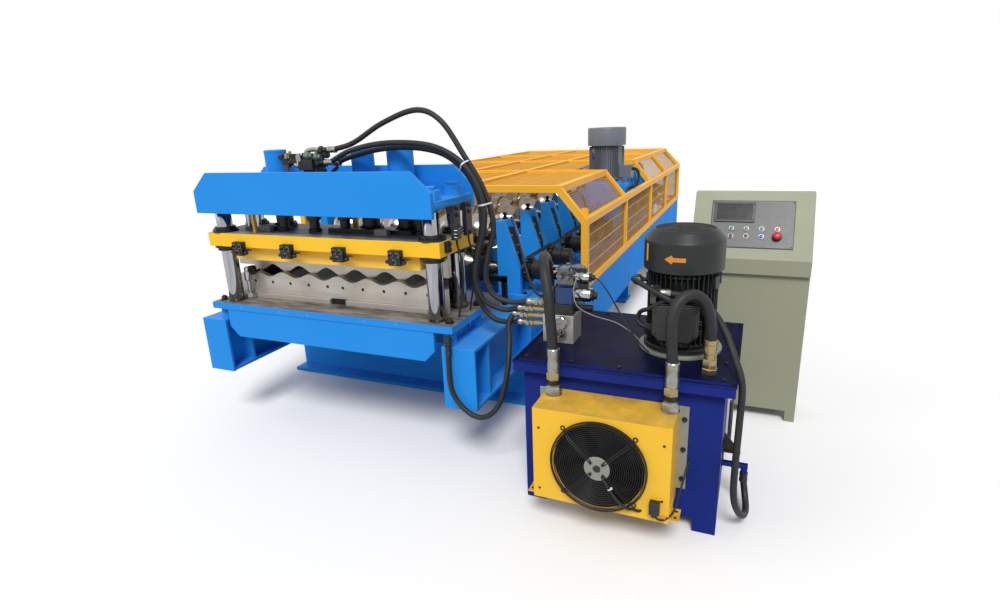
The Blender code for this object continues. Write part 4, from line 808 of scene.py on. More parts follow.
def make_clamps():
    """Four screw clamps on the platen's front."""
    screws = bmesh.new()
    for index in range(4):
        x = (index - 1.5) * CLAMP_PITCH
        block((x - 0.032, CLAMP_FRONT, CLAMP_Z - 0.035), (x + 0.032, CLAMP_BACK, CLAMP_Z + 0.035))
        for dx, dz in CLAMP_SCREWS:
            cap_screw((x + dx, CLAMP_FRONT, CLAMP_Z + dz), -Y, 0.0105, 0.01, bm=screws)
        for side in (-1, 1):
            lathe((x + side * 0.032, CLAMP_FRONT + 0.014, CLAMP_Z - 0.02), X * side, [(0, 0.006),
                (0.006, 0.006), (0.006, 0.0095), (0.018, 0.0095), (0.02, 0.008)], 12, bm=screws)
        lathe((x + 0.032, -0.8502, CLAMP_Z - 0.006), X, [(0, 0.0065), (0.02, 0.0065), (0.044, 0.002)], 10,
            bm=screws)
    piece("platen_clamps", black, PRESS, 0.0015)
    # Painted highlight: bright zinc rings round the clamp screws stand for the shine on the screw heads'
    # rims.
    for index in range(4):
        x = (index - 1.5) * CLAMP_PITCH
        for dx, dz in CLAMP_SCREWS:
            lathe((x + dx, CLAMP_FRONT, CLAMP_Z + dz), -Y, [(0, 0.0126), (0.0012, 0.0126), (0.0016, 0.0118),
                (0.0016, 0.0104)], 24, capped=False)
    piece("clamp_screw_highlight_rings", zinc, PRESS)
    piece("platen_clamp_screws", iron, PRESS, bm=screws)


def make_die_ends():
    """Plates that close the die towards the guide columns."""
    for name, body, y, low, high in (
        ("lower_die_ends", MACHINE, LOWER_BLADE_Y, BED_FACE + 0.0004, 0.862),
        ("upper_die_ends", PRESS, UPPER_BLADE_Y, 0.912, PLATEN_LOW - GAP),
    ):
        for near, far in ((-0.7, -BLADE_HALF - 0.0006), (BLADE_HALF + 0.0006, 0.636)):
            block((near, y[0] + 0.001, low), (far, y[1], high))
        piece(name, steel, body, bevel=0.0015)


def make_bed_plugs():
    """Plugged holes along the front edge of the bed plate."""
    for x in (-0.529, -0.266, -0.088, 0.258, 0.44):
        lathe((x, BED_FRONT + 0.0004, 0.721), -Y, [(0, 0.0048), (0.0008, 0.0048), (0.0012, 0.0036)], 16)
    piece("bed_plugs", worn_blue)


def make_blades():
    """Both blades, the rail under the lower one, and the die behind the upper one in near black as painted
    shade.
    """
    make_bed_plugs()
    make_die_ends()
    wave_plate(0.7685, 0.8745, 0.0135, BLADE_HALF, LOWER_BLADE_Y)
    piece("lower_blade_plate", steel, bevel=0.0012, replaces=("lower_blade",), sharp=20)
    front, back = LOWER_BLADE_Y[0] - 0.018, LOWER_BLADE_Y[0] + 0.091
    notch = 0.05
    low = BED_FACE + 0.0004
    for x0, x1 in ((-0.582, -notch), (notch, 0.582)):
        block((x0, front, low), (x1, back, 0.768))
    block((-notch, front + 0.064, low), (notch, back, 0.768))
    piece("die_rail", steel, bevel=0.0015)
    # Painted shade: a near-black block set back in the rail's notch stands for the dark inside of the slot.
    block((-notch + 0.0005, front + 0.016, low), (notch - 0.0005, front + 0.063, 0.7665))
    piece("die_rail_notch_painted_shade", black, bevel=0.0008)
    for x in (-0.564, -0.44, -0.317, -0.193, -0.068, 0.029, 0.154, 0.281, 0.408, 0.533):
        lathe((x, LOWER_BLADE_Y[0] - 0.0002, 0.83), -Y, [(0, 0.0085), (0.0006, 0.008), (0.0006, 0.0062),
            (-0.004, 0.006)], 20)
    piece("blade_bolt_holes", black)
    wave_plate(PLATEN_LOW - GAP, 0.9025, -0.0185, BLADE_HALF, UPPER_BLADE_Y)
    piece("upper_blade_plate", steel, PRESS, 0.0012, ("upper_blade",), 20)
    # Painted shade: the die behind the upper blade is near black so the openings between the blades read
    # dark.
    wave_plate(PLATEN_LOW - GAP, 0.9125, -0.0185, BLADE_HALF, (UPPER_BLADE_Y[1] + 0.0002, -0.575))
    piece("upper_die", black_and_painted_shade, PRESS, 0.001, (), 20)


def make_die_inside():
    """The run-out guide behind the lower blade, near black as painted shade inside the die, and the small
    parts at the die's left end.
    """
    # The guide is near black: painted shade seen through the openings between the blades.
    count, low, high = 160, -0.664, -0.1
    rows = []
    for y in (low, high):
        top, under = [], []
        for i in range(count + 1):
            x = -0.58 + 1.16 * i / count
            z = 0.811 + 0.013 * math.cos(2 * math.pi * x / WAVE)
            top.append(DRAFT.verts.new((x, y, z)))
            under.append(DRAFT.verts.new((x, y, z - 0.003)))
        rows.append((top, under))
    (top_a, low_a), (top_b, low_b) = rows
    for i in range(count):
        j = i + 1
        DRAFT.faces.new((top_a[i], top_a[j], top_b[j], top_b[i]))
        DRAFT.faces.new((low_a[i], low_b[i], low_b[j], low_a[j]))
        DRAFT.faces.new((top_a[i], low_a[i], low_a[j], top_a[j]))
        DRAFT.faces.new((top_b[i], top_b[j], low_b[j], low_b[i]))
    DRAFT.faces.new((top_a[0], top_b[0], low_b[0], low_a[0]))
    DRAFT.faces.new((top_a[-1], low_a[-1], low_b[-1], top_b[-1]))
    for x in (-0.55, -0.18, 0.18, 0.55):
        block((x - 0.012, -0.6, BED_FACE), (x + 0.012, -0.5, 0.8))
    for side in (-1, 1):
        block((side * 0.581, -0.568, 0.78), (side * 0.586, -0.1, 0.905))
        block((side * 0.69, -0.165, 0.6355), (side * 0.715, -0.135, 0.795))
    block((-0.715, -0.165, 0.77), (0.715, -0.135, 0.797))
    piece("run_out_guide", black_and_painted_shade)
    lathe((-0.553, -0.712, 0.8965), -Y, [(0, 0.026), (0.022, 0.026), (0.026, 0.022), (0.026, 0.01),
        (0.034, 0.01)], 24)
    block((-0.592, -0.715, 0.886), (-0.562, -0.7005, 0.914))
    disc((-0.517, -0.7055, 0.897), -Y, 0.008, 0.01, 12)
    piece("die_end_knob", black)
    lathe((-0.578, -0.735, 0.7705), Z, [(0, 0.011), (0.0695, 0.011), (0.0695, 0.018), (0.0735, 0.02),
        (0.1195, 0.02), (0.1215, 0.016), (0.1435, 0.016), (0.1455, 0.012)], 24)
    piece("die_end_pin", chrome)
    for side in (-1, 1):
        lathe((side * 0.575, -0.735, BED_FACE), Z, [(0, 0.03), (0.012, 0.03), (0.014, 0.028), (0.03, 0.026),
            (0.032, 0.022)], 28)
    piece("die_end_collars", zinc)
    for side in (-1, 1):
        bolt((side * 0.702, -0.806, BED_FACE), Z, 0.016, 0.018)
        bolt((side * 0.702, -0.51, BED_FACE), Z, 0.016, 0.018)
    piece("bed_bolts", black)


SWITCH_YS = (-0.735, -0.615)


def make_press_sides():
    """Black channel and screw block at the right-hand side, from the deck down to the platen."""
    for y in SWITCH_YS:
        block((0.7165, y - 0.03, 1.12), (0.7365, y + 0.03, 1.275))
        block((0.6945, y - 0.022, 1.235), (0.7165, y + 0.022, 1.262))
        for dz in (0.155, 0.125, 0.028):
            cap_screw((0.7365, y, 1.105 + dz), X, 0.009, 0.008)
    piece("press_side_switches", black, bevel=0.0015)
    block((0.6965, -0.8, 1.068), (0.7165, -0.77, 1.118))
    for dz in (0.012, 0.036):
        cap_screw((0.7165, -0.785, 1.069 + dz), X, 0.009, 0.008)
    piece("platen_side_block", black, PRESS, 0.001)
    for z in (1.135, 1.15, 1.166):
        pipe([(0.736, -0.772, z), (0.747, -0.768, z - 0.002), (0.75, -0.74, z + 0.004),
            (0.747, -0.704, z + 0.01), (0.736, -0.7, z + 0.008)], 0.0025, 6)
    piece("side_ties", cast_metal)
    for y in SWITCH_YS:
        points = [(0.7265, y, 1.125), (0.73, y, 1.09), (0.742, y + 0.01, 1.02), (0.738, y + 0.02, 0.92),
            (0.725, y + 0.02, 0.84), (0.715, y + 0.015, 0.78), (0.71, y + 0.01, BED_FACE + 0.006)]
        pipe(curved(points), 0.005, 8)
    piece("switch_cables", rubber)


CYLINDERS = ((-0.384, 0.056), (0.166, 0.056), (0.382, 0.064))


def make_top_frame():
    """The CAD frame with plain openings where the press cylinders stand."""
    DRAFT.from_mesh(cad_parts["top_frame"].data)
    bmesh.ops.remove_doubles(DRAFT, verts=DRAFT.verts, dist=0.0001)
    near = []
    for vert in DRAFT.verts:
        for x in CYLINDER_XS:
            if vert.co.z > DECK_TOP + 0.01 and math.hypot(vert.co.x - x, vert.co.y - CYLINDER_Y) < 0.075:
                near.append(vert)
    bmesh.ops.delete(DRAFT, geom=near, context="VERTS")
    bmesh.ops.holes_fill(DRAFT, edges=[edge for edge in DRAFT.edges if edge.is_boundary], sides=0)
    piece("top_frame_plates", blue, bevel=0.002, replaces=("top_frame",))


def make_top_details():
    """Column caps, nuts, and the three cylinders with their flanges."""
    make_top_frame()
    for x, y in COLUMNS:
        lathe((x, y, 1.344), Z, [(0, 0.03), (0.014, 0.03), (0.016, 0.027)], 24)
    for x in COLUMN_XS:
        for y in (-0.845, -0.5):
            nut((x * 0.945, y, DECK_TOP), Z, 0.022, 0.04)
    for x, radius in CYLINDERS:
        lathe((x, CYLINDER_Y, DECK_TOP), Z, [(0, 0.098), (0.02, 0.098), (0.023, 0.094), (0.023, radius)], 48,
            capped=False)
        for spot, _ in ring((x, CYLINDER_Y, DECK_TOP + 0.023), 0.084, 8):
            cap_screw(spot, Z, 0.008, 0.01)
    piece("cylinder_flanges", blue)
    rise = CYLINDER_TOP - DECK_TOP
    for x, radius in CYLINDERS:
        lathe((x, CYLINDER_Y, DECK_TOP), Z, [(0, radius), (rise - 0.012, radius),
            (rise - 0.012, radius + 0.0012), (rise - 0.003, radius + 0.0012), (rise, radius - 0.003),
            (rise, radius - 0.014), (rise - 0.002, radius - 0.016), (rise - 0.002, 0.002)], 64)
    piece("cylinder_barrels", blue, sharp=50)


PORTS = ((-0.712, 1.525), (-0.745, 1.467), (-0.69, 1.462))
PORT_X = 0.045


def make_press_valves():
    """Valve cluster on the deck, where the three long hoses end."""
    block((-0.08, -0.755, DECK_TOP + GAP), (0.0, -0.675, 1.435))
    block((-0.098, -0.768, 1.432), (-0.012, -0.668, 1.484))
    piece("press_valve_block", iron, bevel=0.003, replaces=("press_valves",))
    lathe((-0.03, -0.712, 1.502), X, [(0, 0.013), (0.018, 0.013), (0.018, 0.019), (0.04, 0.019),
        (0.042, 0.015), (0.058, 0.015), (0.058, 0.018), (PORT_X + 0.03, 0.018)], 6)
    for y, z in PORTS:
        nut((PORT_X - 0.045, y, z), X, 0.0185, 0.018)
        disc((PORT_X - 0.027, y, z), X, 0.012, 0.024, 16)
    nut((-0.06, -0.748, 1.484), Z, 0.019, 0.03)
    nut((-0.09, -0.7, 1.484), Z, 0.016, 0.022)
    piece("press_valve_nuts", iron)
    for y, z in PORTS:
        crimp((PORT_X + 0.006, y, z), X, HOSE_RADIUS, 0.046)
    pipe(curved([(-0.07, -0.735, 1.484), (-0.07, -0.735, 1.506), (-0.064, -0.733, 1.52),
        (-0.048, -0.728, 1.526), (-0.02, -0.722, 1.527), (0.0, -0.715, 1.526)]), 0.0105, 14)
    pipe(curved([(-0.098, -0.712, 1.462), (-0.12, -0.712, 1.464), (-0.132, -0.712, 1.452),
        (-0.15, -0.712, 1.449), (-0.165, -0.714, 1.456)]), 0.01, 14)
    lathe((-0.088, -0.765, 1.476), Z, [(0, 0.015), (0.028, 0.015), (0.03, 0.011), (0.036, 0.011)], 20)
    piece("press_valve_pipes", zinc)
    for x, y, z in ((-0.055, -0.76, 1.5), (-0.018, -0.745, 1.492)):
        lathe((x, y, z), X, steps((0.014, 0.013), (0.03, 0.018), (0.046, 0.013)), 16)
    block((-0.03, -0.7, 1.484), (0.004, -0.672, 1.517))
    piece("press_valve_fittings", fitting_green, bevel=0.001)
    lathe((-0.312, -0.64, 1.49), X, steps((0.016, 0.02), (0.034, 0.0135), (0.055, 0.021)), 6)
    lathe((-0.24, -0.655, 1.47), -Y, steps((0.02, 0.014), (0.036, 0.018)), 6)
    block((-0.262, -0.67, 1.452), (-0.226, -0.626, 1.506))
    nut((-0.212, -0.712, 1.44), Z, 0.018, 0.02)
    block((-0.228, -0.728, 1.455), (-0.196, -0.696, 1.488))
    lathe((-0.196, -0.712, 1.466), X, steps((0.018, 0.017), (0.03, 0.012)), 12)
    piece("left_cylinder_valve", iron, bevel=0.001)
    pipe(curved([(-0.236, -0.684, 1.47), (-0.234, -0.7, 1.47), (-0.228, -0.712, 1.468)]), 0.009, 12)
    rod((-0.212, -0.712, 1.488), (-0.212, -0.712, 1.51), 0.01, 16)
    rod((-0.246, -0.648, 1.506), (-0.246, -0.648, 1.52), 0.008, 16)
    piece("left_cylinder_pipe", brass)
    pipe(curved([(-0.196, -0.725, 1.452), (-0.185, -0.745, 1.43), (-0.165, -0.77, 1.385),
        (-0.15, -0.785, 1.33), (-0.145, -0.79, DECK_TOP + 0.006)]), 0.008, 10)
    pipe(curved([(PORT_X + 0.03, -0.69, 1.44), (0.03, -0.68, 1.41), (0.05, -0.655, 1.385),
        (0.085, -0.635, 1.38), (0.108, -0.62, 1.39)]), 0.009, 10)
    lathe((-0.312, -0.64, 1.49), X, [(-0.012, 0.012), (0.002, 0.012)], 16)
    piece("press_valve_hoses", rubber)


make_columns()
make_platen()
make_platen_details()
make_clamps()
make_blades()
make_die_inside()
make_press_sides()
make_top_details()
make_press_valves()


# Roll former: rollers with their drive, stands, cage mesh

STATIONS = 12
STATION_FIRST, STATION_PITCH = 0.08, 0.385
LOWER_Z, UPPER_Z = 0.79, 1.0
SHAFT = 0.026
ROLLER_HALF = WAVE * 3
ROLLER_RADIUS, ROLLER_SWING = 0.102, 0.014
JOURNAL = 0.5997
SPROCKET_XS = (0.7635, 0.7855)
SPROCKET_RADIUS = 0.068
TEETH = 17


def station_y(index):
    """Where a station stands along the machine."""
    return STATION_FIRST + index * STATION_PITCH


def wavy_barrel(way):
    """Profile of the roller rings, with a thin groove where two rings meet."""
    points = []
    steps = 14 * 6
    for i in range(steps + 1):
        x = -ROLLER_HALF + 2 * ROLLER_HALF * i / steps
        radius = ROLLER_RADIUS + way * ROLLER_SWING * math.cos(2 * math.pi * x / WAVE)
        split = i % 14 == (7 if way > 0 else 0)
        if split and 0 < i < steps:
            points += [(x - 0.004, radius), (x - 0.0012, radius - 0.003), (x - 0.001, radius - 0.006)]
            points += [(x + 0.001, radius - 0.006), (x + 0.0012, radius - 0.003), (x + 0.004, radius)]
        else:
            points.append((x, radius))
    return points


def sprocket(x, radius, width):
    """A toothed wheel square to X."""
    outline = []
    for i in range(TEETH):
        for part, reach in ((-0.3, -0.006), (-0.12, 0.005), (0.12, 0.005), (0.3, -0.006)):
            angle = 2 * math.pi * (i + part) / TEETH
            outline.append(((radius + reach) * math.cos(angle), (radius + reach) * math.sin(angle)))
    prism(outline, "X", x - width / 2, x + width / 2)


def make_rollers():
    """Wavy rollers, the upper ones half a wave off the lower ones."""
    for kind, z, way in (("lower", LOWER_Z, 1), ("upper", UPPER_Z, -1)):
        barrel = wavy_barrel(way)
        collar = 0.04
        shape = [(-JOURNAL, SHAFT - 0.001), (-JOURNAL + 0.001, SHAFT), (barrel[0][0] - 0.02, SHAFT),
            (barrel[0][0] - 0.02, collar), (barrel[0][0], collar), *barrel, (barrel[-1][0], collar),
            (barrel[-1][0] + 0.02, collar), (barrel[-1][0] + 0.02, SHAFT)]
        end = 0.745 if kind == "lower" else JOURNAL
        shape += [(end - 0.001, SHAFT), (end, SHAFT - 0.001)]
        lathe((0, 0, 0), X, shape, 40)
        names = [f"{kind}_roller_{index + 1}" for index in range(STATIONS)]
        series(roller_chrome, [
            (name + "_rings", name, (0, station_y(index), z), (name,)) for index, name in enumerate(names)
        ], sharp=30)


def make_sprockets():
    """Twin sprockets and hub on the drive end of each lower shaft."""
    for x in SPROCKET_XS:
        sprocket(x, SPROCKET_RADIUS, 0.007)
    lathe((0.752, 0, 0), X, [(0, SHAFT), (0, 0.05), (0.007, 0.05), (0.007, 0.046), (0.044, 0.046),
        (0.044, 0.056), (0.047, 0.059), (0.098, 0.059), (0.102, 0.055), (0.102, 0.05), (0.152, 0.05),
        (0.157, 0.046), (0.157, 0.016), (0.15, 0.016)], 40)
    bolt((0.902, 0, 0), X, 0.0125, 0.006)
    series(black, [
        (f"drive_hub_{index + 1}", f"lower_roller_{index + 1}", (0, station_y(index), LOWER_Z), ())
        for index in range(STATIONS)
    ])


def chain_path(start_y, end_y, z, radius, count):
    """Pin places round a chain loop over two equal sprockets, as (y, z)."""
    span, arc = end_y - start_y, math.pi * radius
    total = 2 * (span + arc)
    places = []
    for i in range(count):
        s = total * (i + 0.5) / count
        if s < span:
            places.append((start_y + s, z + radius))
        elif s < span + arc:
            turn = (s - span) / radius
            places.append((end_y + radius * math.sin(turn), z + radius * math.cos(turn)))
        elif s < 2 * span + arc:
            places.append((end_y - (s - span - arc), z - radius))
        else:
            turn = (s - 2 * span - arc) / radius
            places.append((start_y - radius * math.sin(turn), z - radius * math.cos(turn)))
    return places


def make_chains():
    """One fixed loop of links between each two stations."""
    links, pins = bmesh.new(), bmesh.new()
    for index in range(STATIONS - 1):
        x = SPROCKET_XS[index % 2]
        places = chain_path(station_y(index), station_y(index + 1), LOWER_Z, SPROCKET_RADIUS, 48)
        for k, (y, z) in enumerate(places):
            next_y, next_z = places[(k + 1) % len(places)]
            middle = Vector((x, (y + next_y) / 2, (z + next_z) / 2))
            angle = math.atan2(next_z - z, next_y - y)
            pitch = math.hypot(next_z - z, next_y - y)
            reach, high = pitch / 2 + 0.007, 0.0085
            wide = 0.0078 if k % 2 else 0.006
            turn = Matrix.Rotation(angle, 4, "X")
            for side in (-1, 1):
                plate = [(-reach, -high / 2), (-reach + 0.004, -high), (reach - 0.004, -high),
                    (reach, -high / 2), (reach, high / 2), (reach - 0.004, high), (-reach + 0.004, high),
                    (-reach, high / 2)]
                before = len(links.verts)
                prism(plate, "X", side * wide - 0.0008, side * wide + 0.0008, bm=links)
                place_new(before, Matrix.Translation(middle) @ turn, links)
            rod((x - 0.0095, y, z), (x + 0.0095, y, z), 0.004, 8, bm=pins)
    piece("chain_links", iron, bm=links)
    piece("chain_pins", zinc, bm=pins)


def make_stand_details():
    """Bearing covers, adjusting screws and their lock nuts on every stand."""
    for name, side in (("right", 1), ("left", -1)):
        bright = bmesh.new()
        way = X * side
        for index in range(STATIONS):
            y = station_y(index)
            face = Vector((side * 0.7066, y, LOWER_Z))
            lathe(face, way, [(0, 0.0275), (0, 0.041), (0.01, 0.041), (0.014, 0.037), (0.014, 0.0275)], 28,
                capped=False)
            for spot, _ in ring(face, 0.048, 4, "X"):
                cap_screw(spot, way, 0.0055, 0.008)
            wide = 0.0442
            outline = [(0.6453, 0.8505), (0.704, 0.8505), (0.704, 0.872), (0.6545, 1.03), (0.6453, 1.03)]
            prism([(side * a, b) for a, b in outline], "Y", y - wide, y + wide)
            for x0, x1, z0, z1 in (
                (0.604, 0.636, 0.8505, 0.9695),
                (0.7002, 0.7065, 0.731, 0.7615), (0.7002, 0.7065, 0.8185, 0.849),
            ):
                block((side * x0, y - wide, z0), (side * x1, y + wide, z1))
            for flank in (-1, 1):
                block((side * 0.7002, y + flank * 0.0275, 0.7616), (side * 0.7065, y + flank * wide, 0.8184))
            x = side * 0.6225
            lathe((x, y, 1.0303), Z, [(0, 0.0095), (0.088, 0.0095), (0.09, 0.0075)], 14)
            nut((x, y, 1.0803), Z, 0.0165, 0.012)
            nut((x, y, 1.105), Z, 0.0135, 0.013)
            for dy, level in ((-0.02, 0.99), (0.022, 0.925), (-0.01, 0.885)):
                slope = 0.704 - (level - 0.872) / (1.03 - 0.872) * 0.0495
                cap_screw((side * (slope - 0.001), y + dy, level), way, 0.0075, 0.007, bm=bright)
            for dy in (-0.062, 0.062):
                bolt((side * 0.76, y + dy, 0.6555), Z, 0.01, 0.009)
        piece(f"stand_{name}_bearings", black_and_painted_shade)
        piece(f"stand_{name}_nuts", zinc, bm=bright)


GUARD_X, RIDGE_X = 1.065, 0.885
GUARD_YS = (0.27, 1.42, 2.55, 3.55, 4.55)
RAIL_Z, EAVE_Z, RIDGE_Z = 0.64, 1.06, 1.25
TUBE = 0.04
MOTOR_BAY = (1.44, 2.53)
MESH_PITCH, CROSS_PITCH = 0.015, 0.03
MESH_WIRE, CROSS_WIRE = 0.0026, 0.0016


def mesh_panel(corner, along, up, spans):
    """Wires on one flat panel: fine ones lengthwise, wider spaced ones across."""
    corner, along, up = Vector(corner), Vector(along), Vector(up)
    height = up.length
    for start, end in spans:
        rows = int(height / MESH_PITCH)
        for i in range(1, rows):
            base = corner + up * (i / rows)
            rod(base + along * start, base + along * end, MESH_WIRE, 4)
        columns = int((end - start) / CROSS_PITCH)
        for i in range(columns + 1):
            base = corner + along * (start + (end - start) * i / columns)
            rod(base, base + up, CROSS_WIRE, 4)


def make_guard_mesh():
    """Wire mesh of the cage's sides, slopes, roof and rear end. The side, slope and end wires take a darker
    brown copy of the cage yellow as painted shade; the roof's wires keep the cage yellow.
    """
    front, rear = GUARD_YS[0] + 0.004, GUARD_YS[-1] - 0.004
    full = [(front, rear)]
    split = [(front, MOTOR_BAY[0]), (MOTOR_BAY[1], rear)]
    for name, side in (("right", 1), ("left", -1)):
        wall = side * (GUARD_X - TUBE / 2)
        mesh_panel((wall, 0, RAIL_Z + 0.02), Y, (0, 0, EAVE_Z - RAIL_Z - 0.04), full)
        ridge = side * RIDGE_X
        slope = (ridge - wall, 0, RIDGE_Z - EAVE_Z)
        mesh_panel((wall, 0, EAVE_Z - TUBE / 2), Y, slope, split if side > 0 else full)
        piece(f"guard_mesh_{name}", wire_yellow_painted_shade)
    top = RIDGE_Z - TUBE / 2
    mesh_panel((-RIDGE_X + 0.02, 0, top), Y, (2 * RIDGE_X - 0.04, 0, 0), split)
    width = RIDGE_X - 0.02 + 0.58
    mesh_panel((-RIDGE_X + 0.02, 0, top), Y, (width, 0, 0), [MOTOR_BAY])
    piece("guard_mesh_roof", cage_yellow)
    y = GUARD_YS[-1] + 0.02
    for i in range(1, 34):
        z = RAIL_Z + 0.02 + i * 0.0165
        if z < RIDGE_Z - 0.02:
            reach = GUARD_X - 0.02
            if z > EAVE_Z:
                reach -= (z - EAVE_Z) / (RIDGE_Z - EAVE_Z) * (GUARD_X - RIDGE_X)
            rod((-reach, y, z), (reach, y, z), 0.0011, 4)
    for i in range(43):
        x = -1.03 + 2.06 * i / 42
        top = RIDGE_Z - 0.02 if abs(x) < RIDGE_X else EAVE_Z + (GUARD_X - abs(x)) - 0.02
        rod((x, y, RAIL_Z + 0.02), (x, y, top), 0.0011, 4)
    piece("guard_mesh_end", wire_yellow_painted_shade)


def make_guard_details():
    """Tabs inside the cage and the joints between the side covers."""
    block((1.022, 0.2905, 1.05), (1.064, 0.295, 1.122))
    for y in GUARD_YS[1:-1]:
        block((GUARD_X - 0.0395, y - 0.028, 0.86), (GUARD_X - 0.0205, y + 0.028, 0.9))
    piece("guard_tabs", cage_yellow, bevel=0.001)
    for side in (-1, 1):
        inner, outer = side * (GUARD_X - 0.004), side * (GUARD_X + 0.0006)
        for y in (1.405, 2.545, 3.545):
            block((inner, y - 0.005, 0.333), (outer, y + 0.005, 0.638))
        block((inner, GUARD_YS[0] + 0.001, 0.63), (outer, GUARD_YS[-1] - 0.001, 0.6395))
    piece("side_cover_seams", iron)


make_rollers()
make_sprockets()
make_chains()
make_stand_details()
make_guard_mesh()
make_guard_details()


# Drive motor on the cage and pump motor on the tank

def ribs(centre, inner, outer, low, high, count, thick, skip=None):
    """Upright cooling fins round a motor's barrel."""
    for i in range(count):
        angle = 2 * math.pi * (i + 0.5) / count
        if skip and skip(angle):
            continue
        turn = Matrix.Rotation(angle, 4, "Z")
        before = len(DRAFT.verts)
        block((inner, -thick / 2, low), (outer, thick / 2, high))
        place_new(before, Matrix.Translation((*centre, 0)) @ turn)


def grille(centre, radius, z, wire, rings):
    """A round air inlet: concentric wires over radial ones."""
    for i in range(1, rings + 1):
        loop((*centre, z), Z, radius * i / rings, wire, 48, 4)
    hub = (*centre, z - wire)
    for tip, _ in ring(hub, radius, 12, start=0):
        rod(hub, tip, wire, 4)


DRIVE_X, DRIVE_Y = 0.79, 1.9
DRIVE_LOW, DRIVE_COWL, DRIVE_TOP = 1.13, 1.41, 1.552
DRIVE_RADIUS = 0.155


def make_drive_motor():
    """Drive motor: barrel, fins, cowl, terminal box, cable and lifting eye."""
    centre = (DRIVE_X, DRIVE_Y)
    start = (DRIVE_X, DRIVE_Y, DRIVE_LOW)
    lathe(start, Z, [(0, 0.146), (0.018, 0.146), (0.02, 0.143), (0.02, 0.128), (0.034, 0.122), (0.27, 0.122),
        (0.278, 0.128), (0.284, 0.128)], 64)
    piece("drive_motor_barrel", motor_grey, replaces=("drive_motor",))
    ribs(centre, 0.118, 0.1435, DRIVE_LOW + 0.032, DRIVE_COWL - 0.01, 44, 0.0035,
        lambda angle: angle < 0.32 or angle > 2 * math.pi - 0.62)
    piece("drive_motor_fins", motor_grey, bevel=0.0006)
    height = DRIVE_TOP - DRIVE_COWL
    lathe((DRIVE_X, DRIVE_Y, DRIVE_COWL), Z, [(0.001, DRIVE_RADIUS - 0.003), (0, DRIVE_RADIUS - 0.0015),
        (0.001, DRIVE_RADIUS), (height - 0.012, DRIVE_RADIUS), (height - 0.004, DRIVE_RADIUS - 0.004),
        (height - 0.001, DRIVE_RADIUS - 0.012), (height - 0.001, 0.118), (height - 0.01, 0.114),
        (height - 0.012, 0.01)], 64)
    for spot, way in ring((*centre, DRIVE_COWL + 0.018), DRIVE_RADIUS - 0.001, 4):
        cap_screw(spot, way, 0.006, 0.005)
    piece("drive_motor_cowl", motor_grey)
    grille(centre, 0.116, DRIVE_TOP - 0.003, 0.0013, 16)
    piece("drive_motor_grille", iron)
    face = DRIVE_X + 0.142
    block((face - 0.022, DRIVE_Y - 0.085, DRIVE_LOW + 0.025),
        (face + 0.068, DRIVE_Y + 0.035, DRIVE_LOW + 0.122))
    block((face + 0.068, DRIVE_Y - 0.09, DRIVE_LOW + 0.02), (face + 0.076, DRIVE_Y + 0.04, DRIVE_LOW + 0.127))
    for dy in (-0.08, 0.03):
        for dz in (0.03, 0.117):
            cap_screw((face + 0.076, DRIVE_Y + dy, DRIVE_LOW + dz), X, 0.005, 0.005)
    piece("drive_motor_box", motor_grey, bevel=0.003)
    lathe((face + 0.076, DRIVE_Y - 0.02, DRIVE_LOW + 0.09), X, steps((0.012, 0.015), (0.026, 0.012)), 6)
    pipe(curved([(face + 0.1, DRIVE_Y - 0.02, DRIVE_LOW + 0.09),
        (face + 0.122, DRIVE_Y - 0.022, DRIVE_LOW + 0.078), (face + 0.134, DRIVE_Y - 0.028, DRIVE_LOW + 0.03),
        (face + 0.118, DRIVE_Y - 0.036, DRIVE_LOW - 0.03), (face + 0.07, DRIVE_Y - 0.044, DRIVE_LOW - 0.06),
        (face - 0.01, DRIVE_Y - 0.05, DRIVE_LOW - 0.075)]), 0.009, 10)
    piece("drive_motor_cable", rubber)
    for dx in (-0.115, 0.115):
        for dy in (-0.115, 0.115):
            bolt((DRIVE_X + dx, DRIVE_Y + dy, DRIVE_LOW), Z, 0.012, 0.01)
    for z in (0.72, 0.95):
        for y in (1.75, 1.875):
            bolt((0.985, y, z), X, 0.011, 0.009)
    piece("drive_bolts", iron)
    loop((DRIVE_X - 0.075, DRIVE_Y - 0.135, DRIVE_COWL - 0.045), X, 0.02, 0.006, 28, 8)
    block((DRIVE_X - 0.085, DRIVE_Y - 0.13, DRIVE_COWL - 0.08),
        (DRIVE_X - 0.065, DRIVE_Y - 0.105, DRIVE_COWL - 0.066))
    piece("drive_motor_eye", motor_grey)


LID_TOP = 0.671
PUMP_X, PUMP_Y = 1.705, -0.605
PUMP_FLANGE_RADIUS = 0.17
PUMP_COWL, PUMP_SHOULDER, PUMP_TOP = 1.02, 1.138, 1.184
PUMP_RADIUS = 0.16


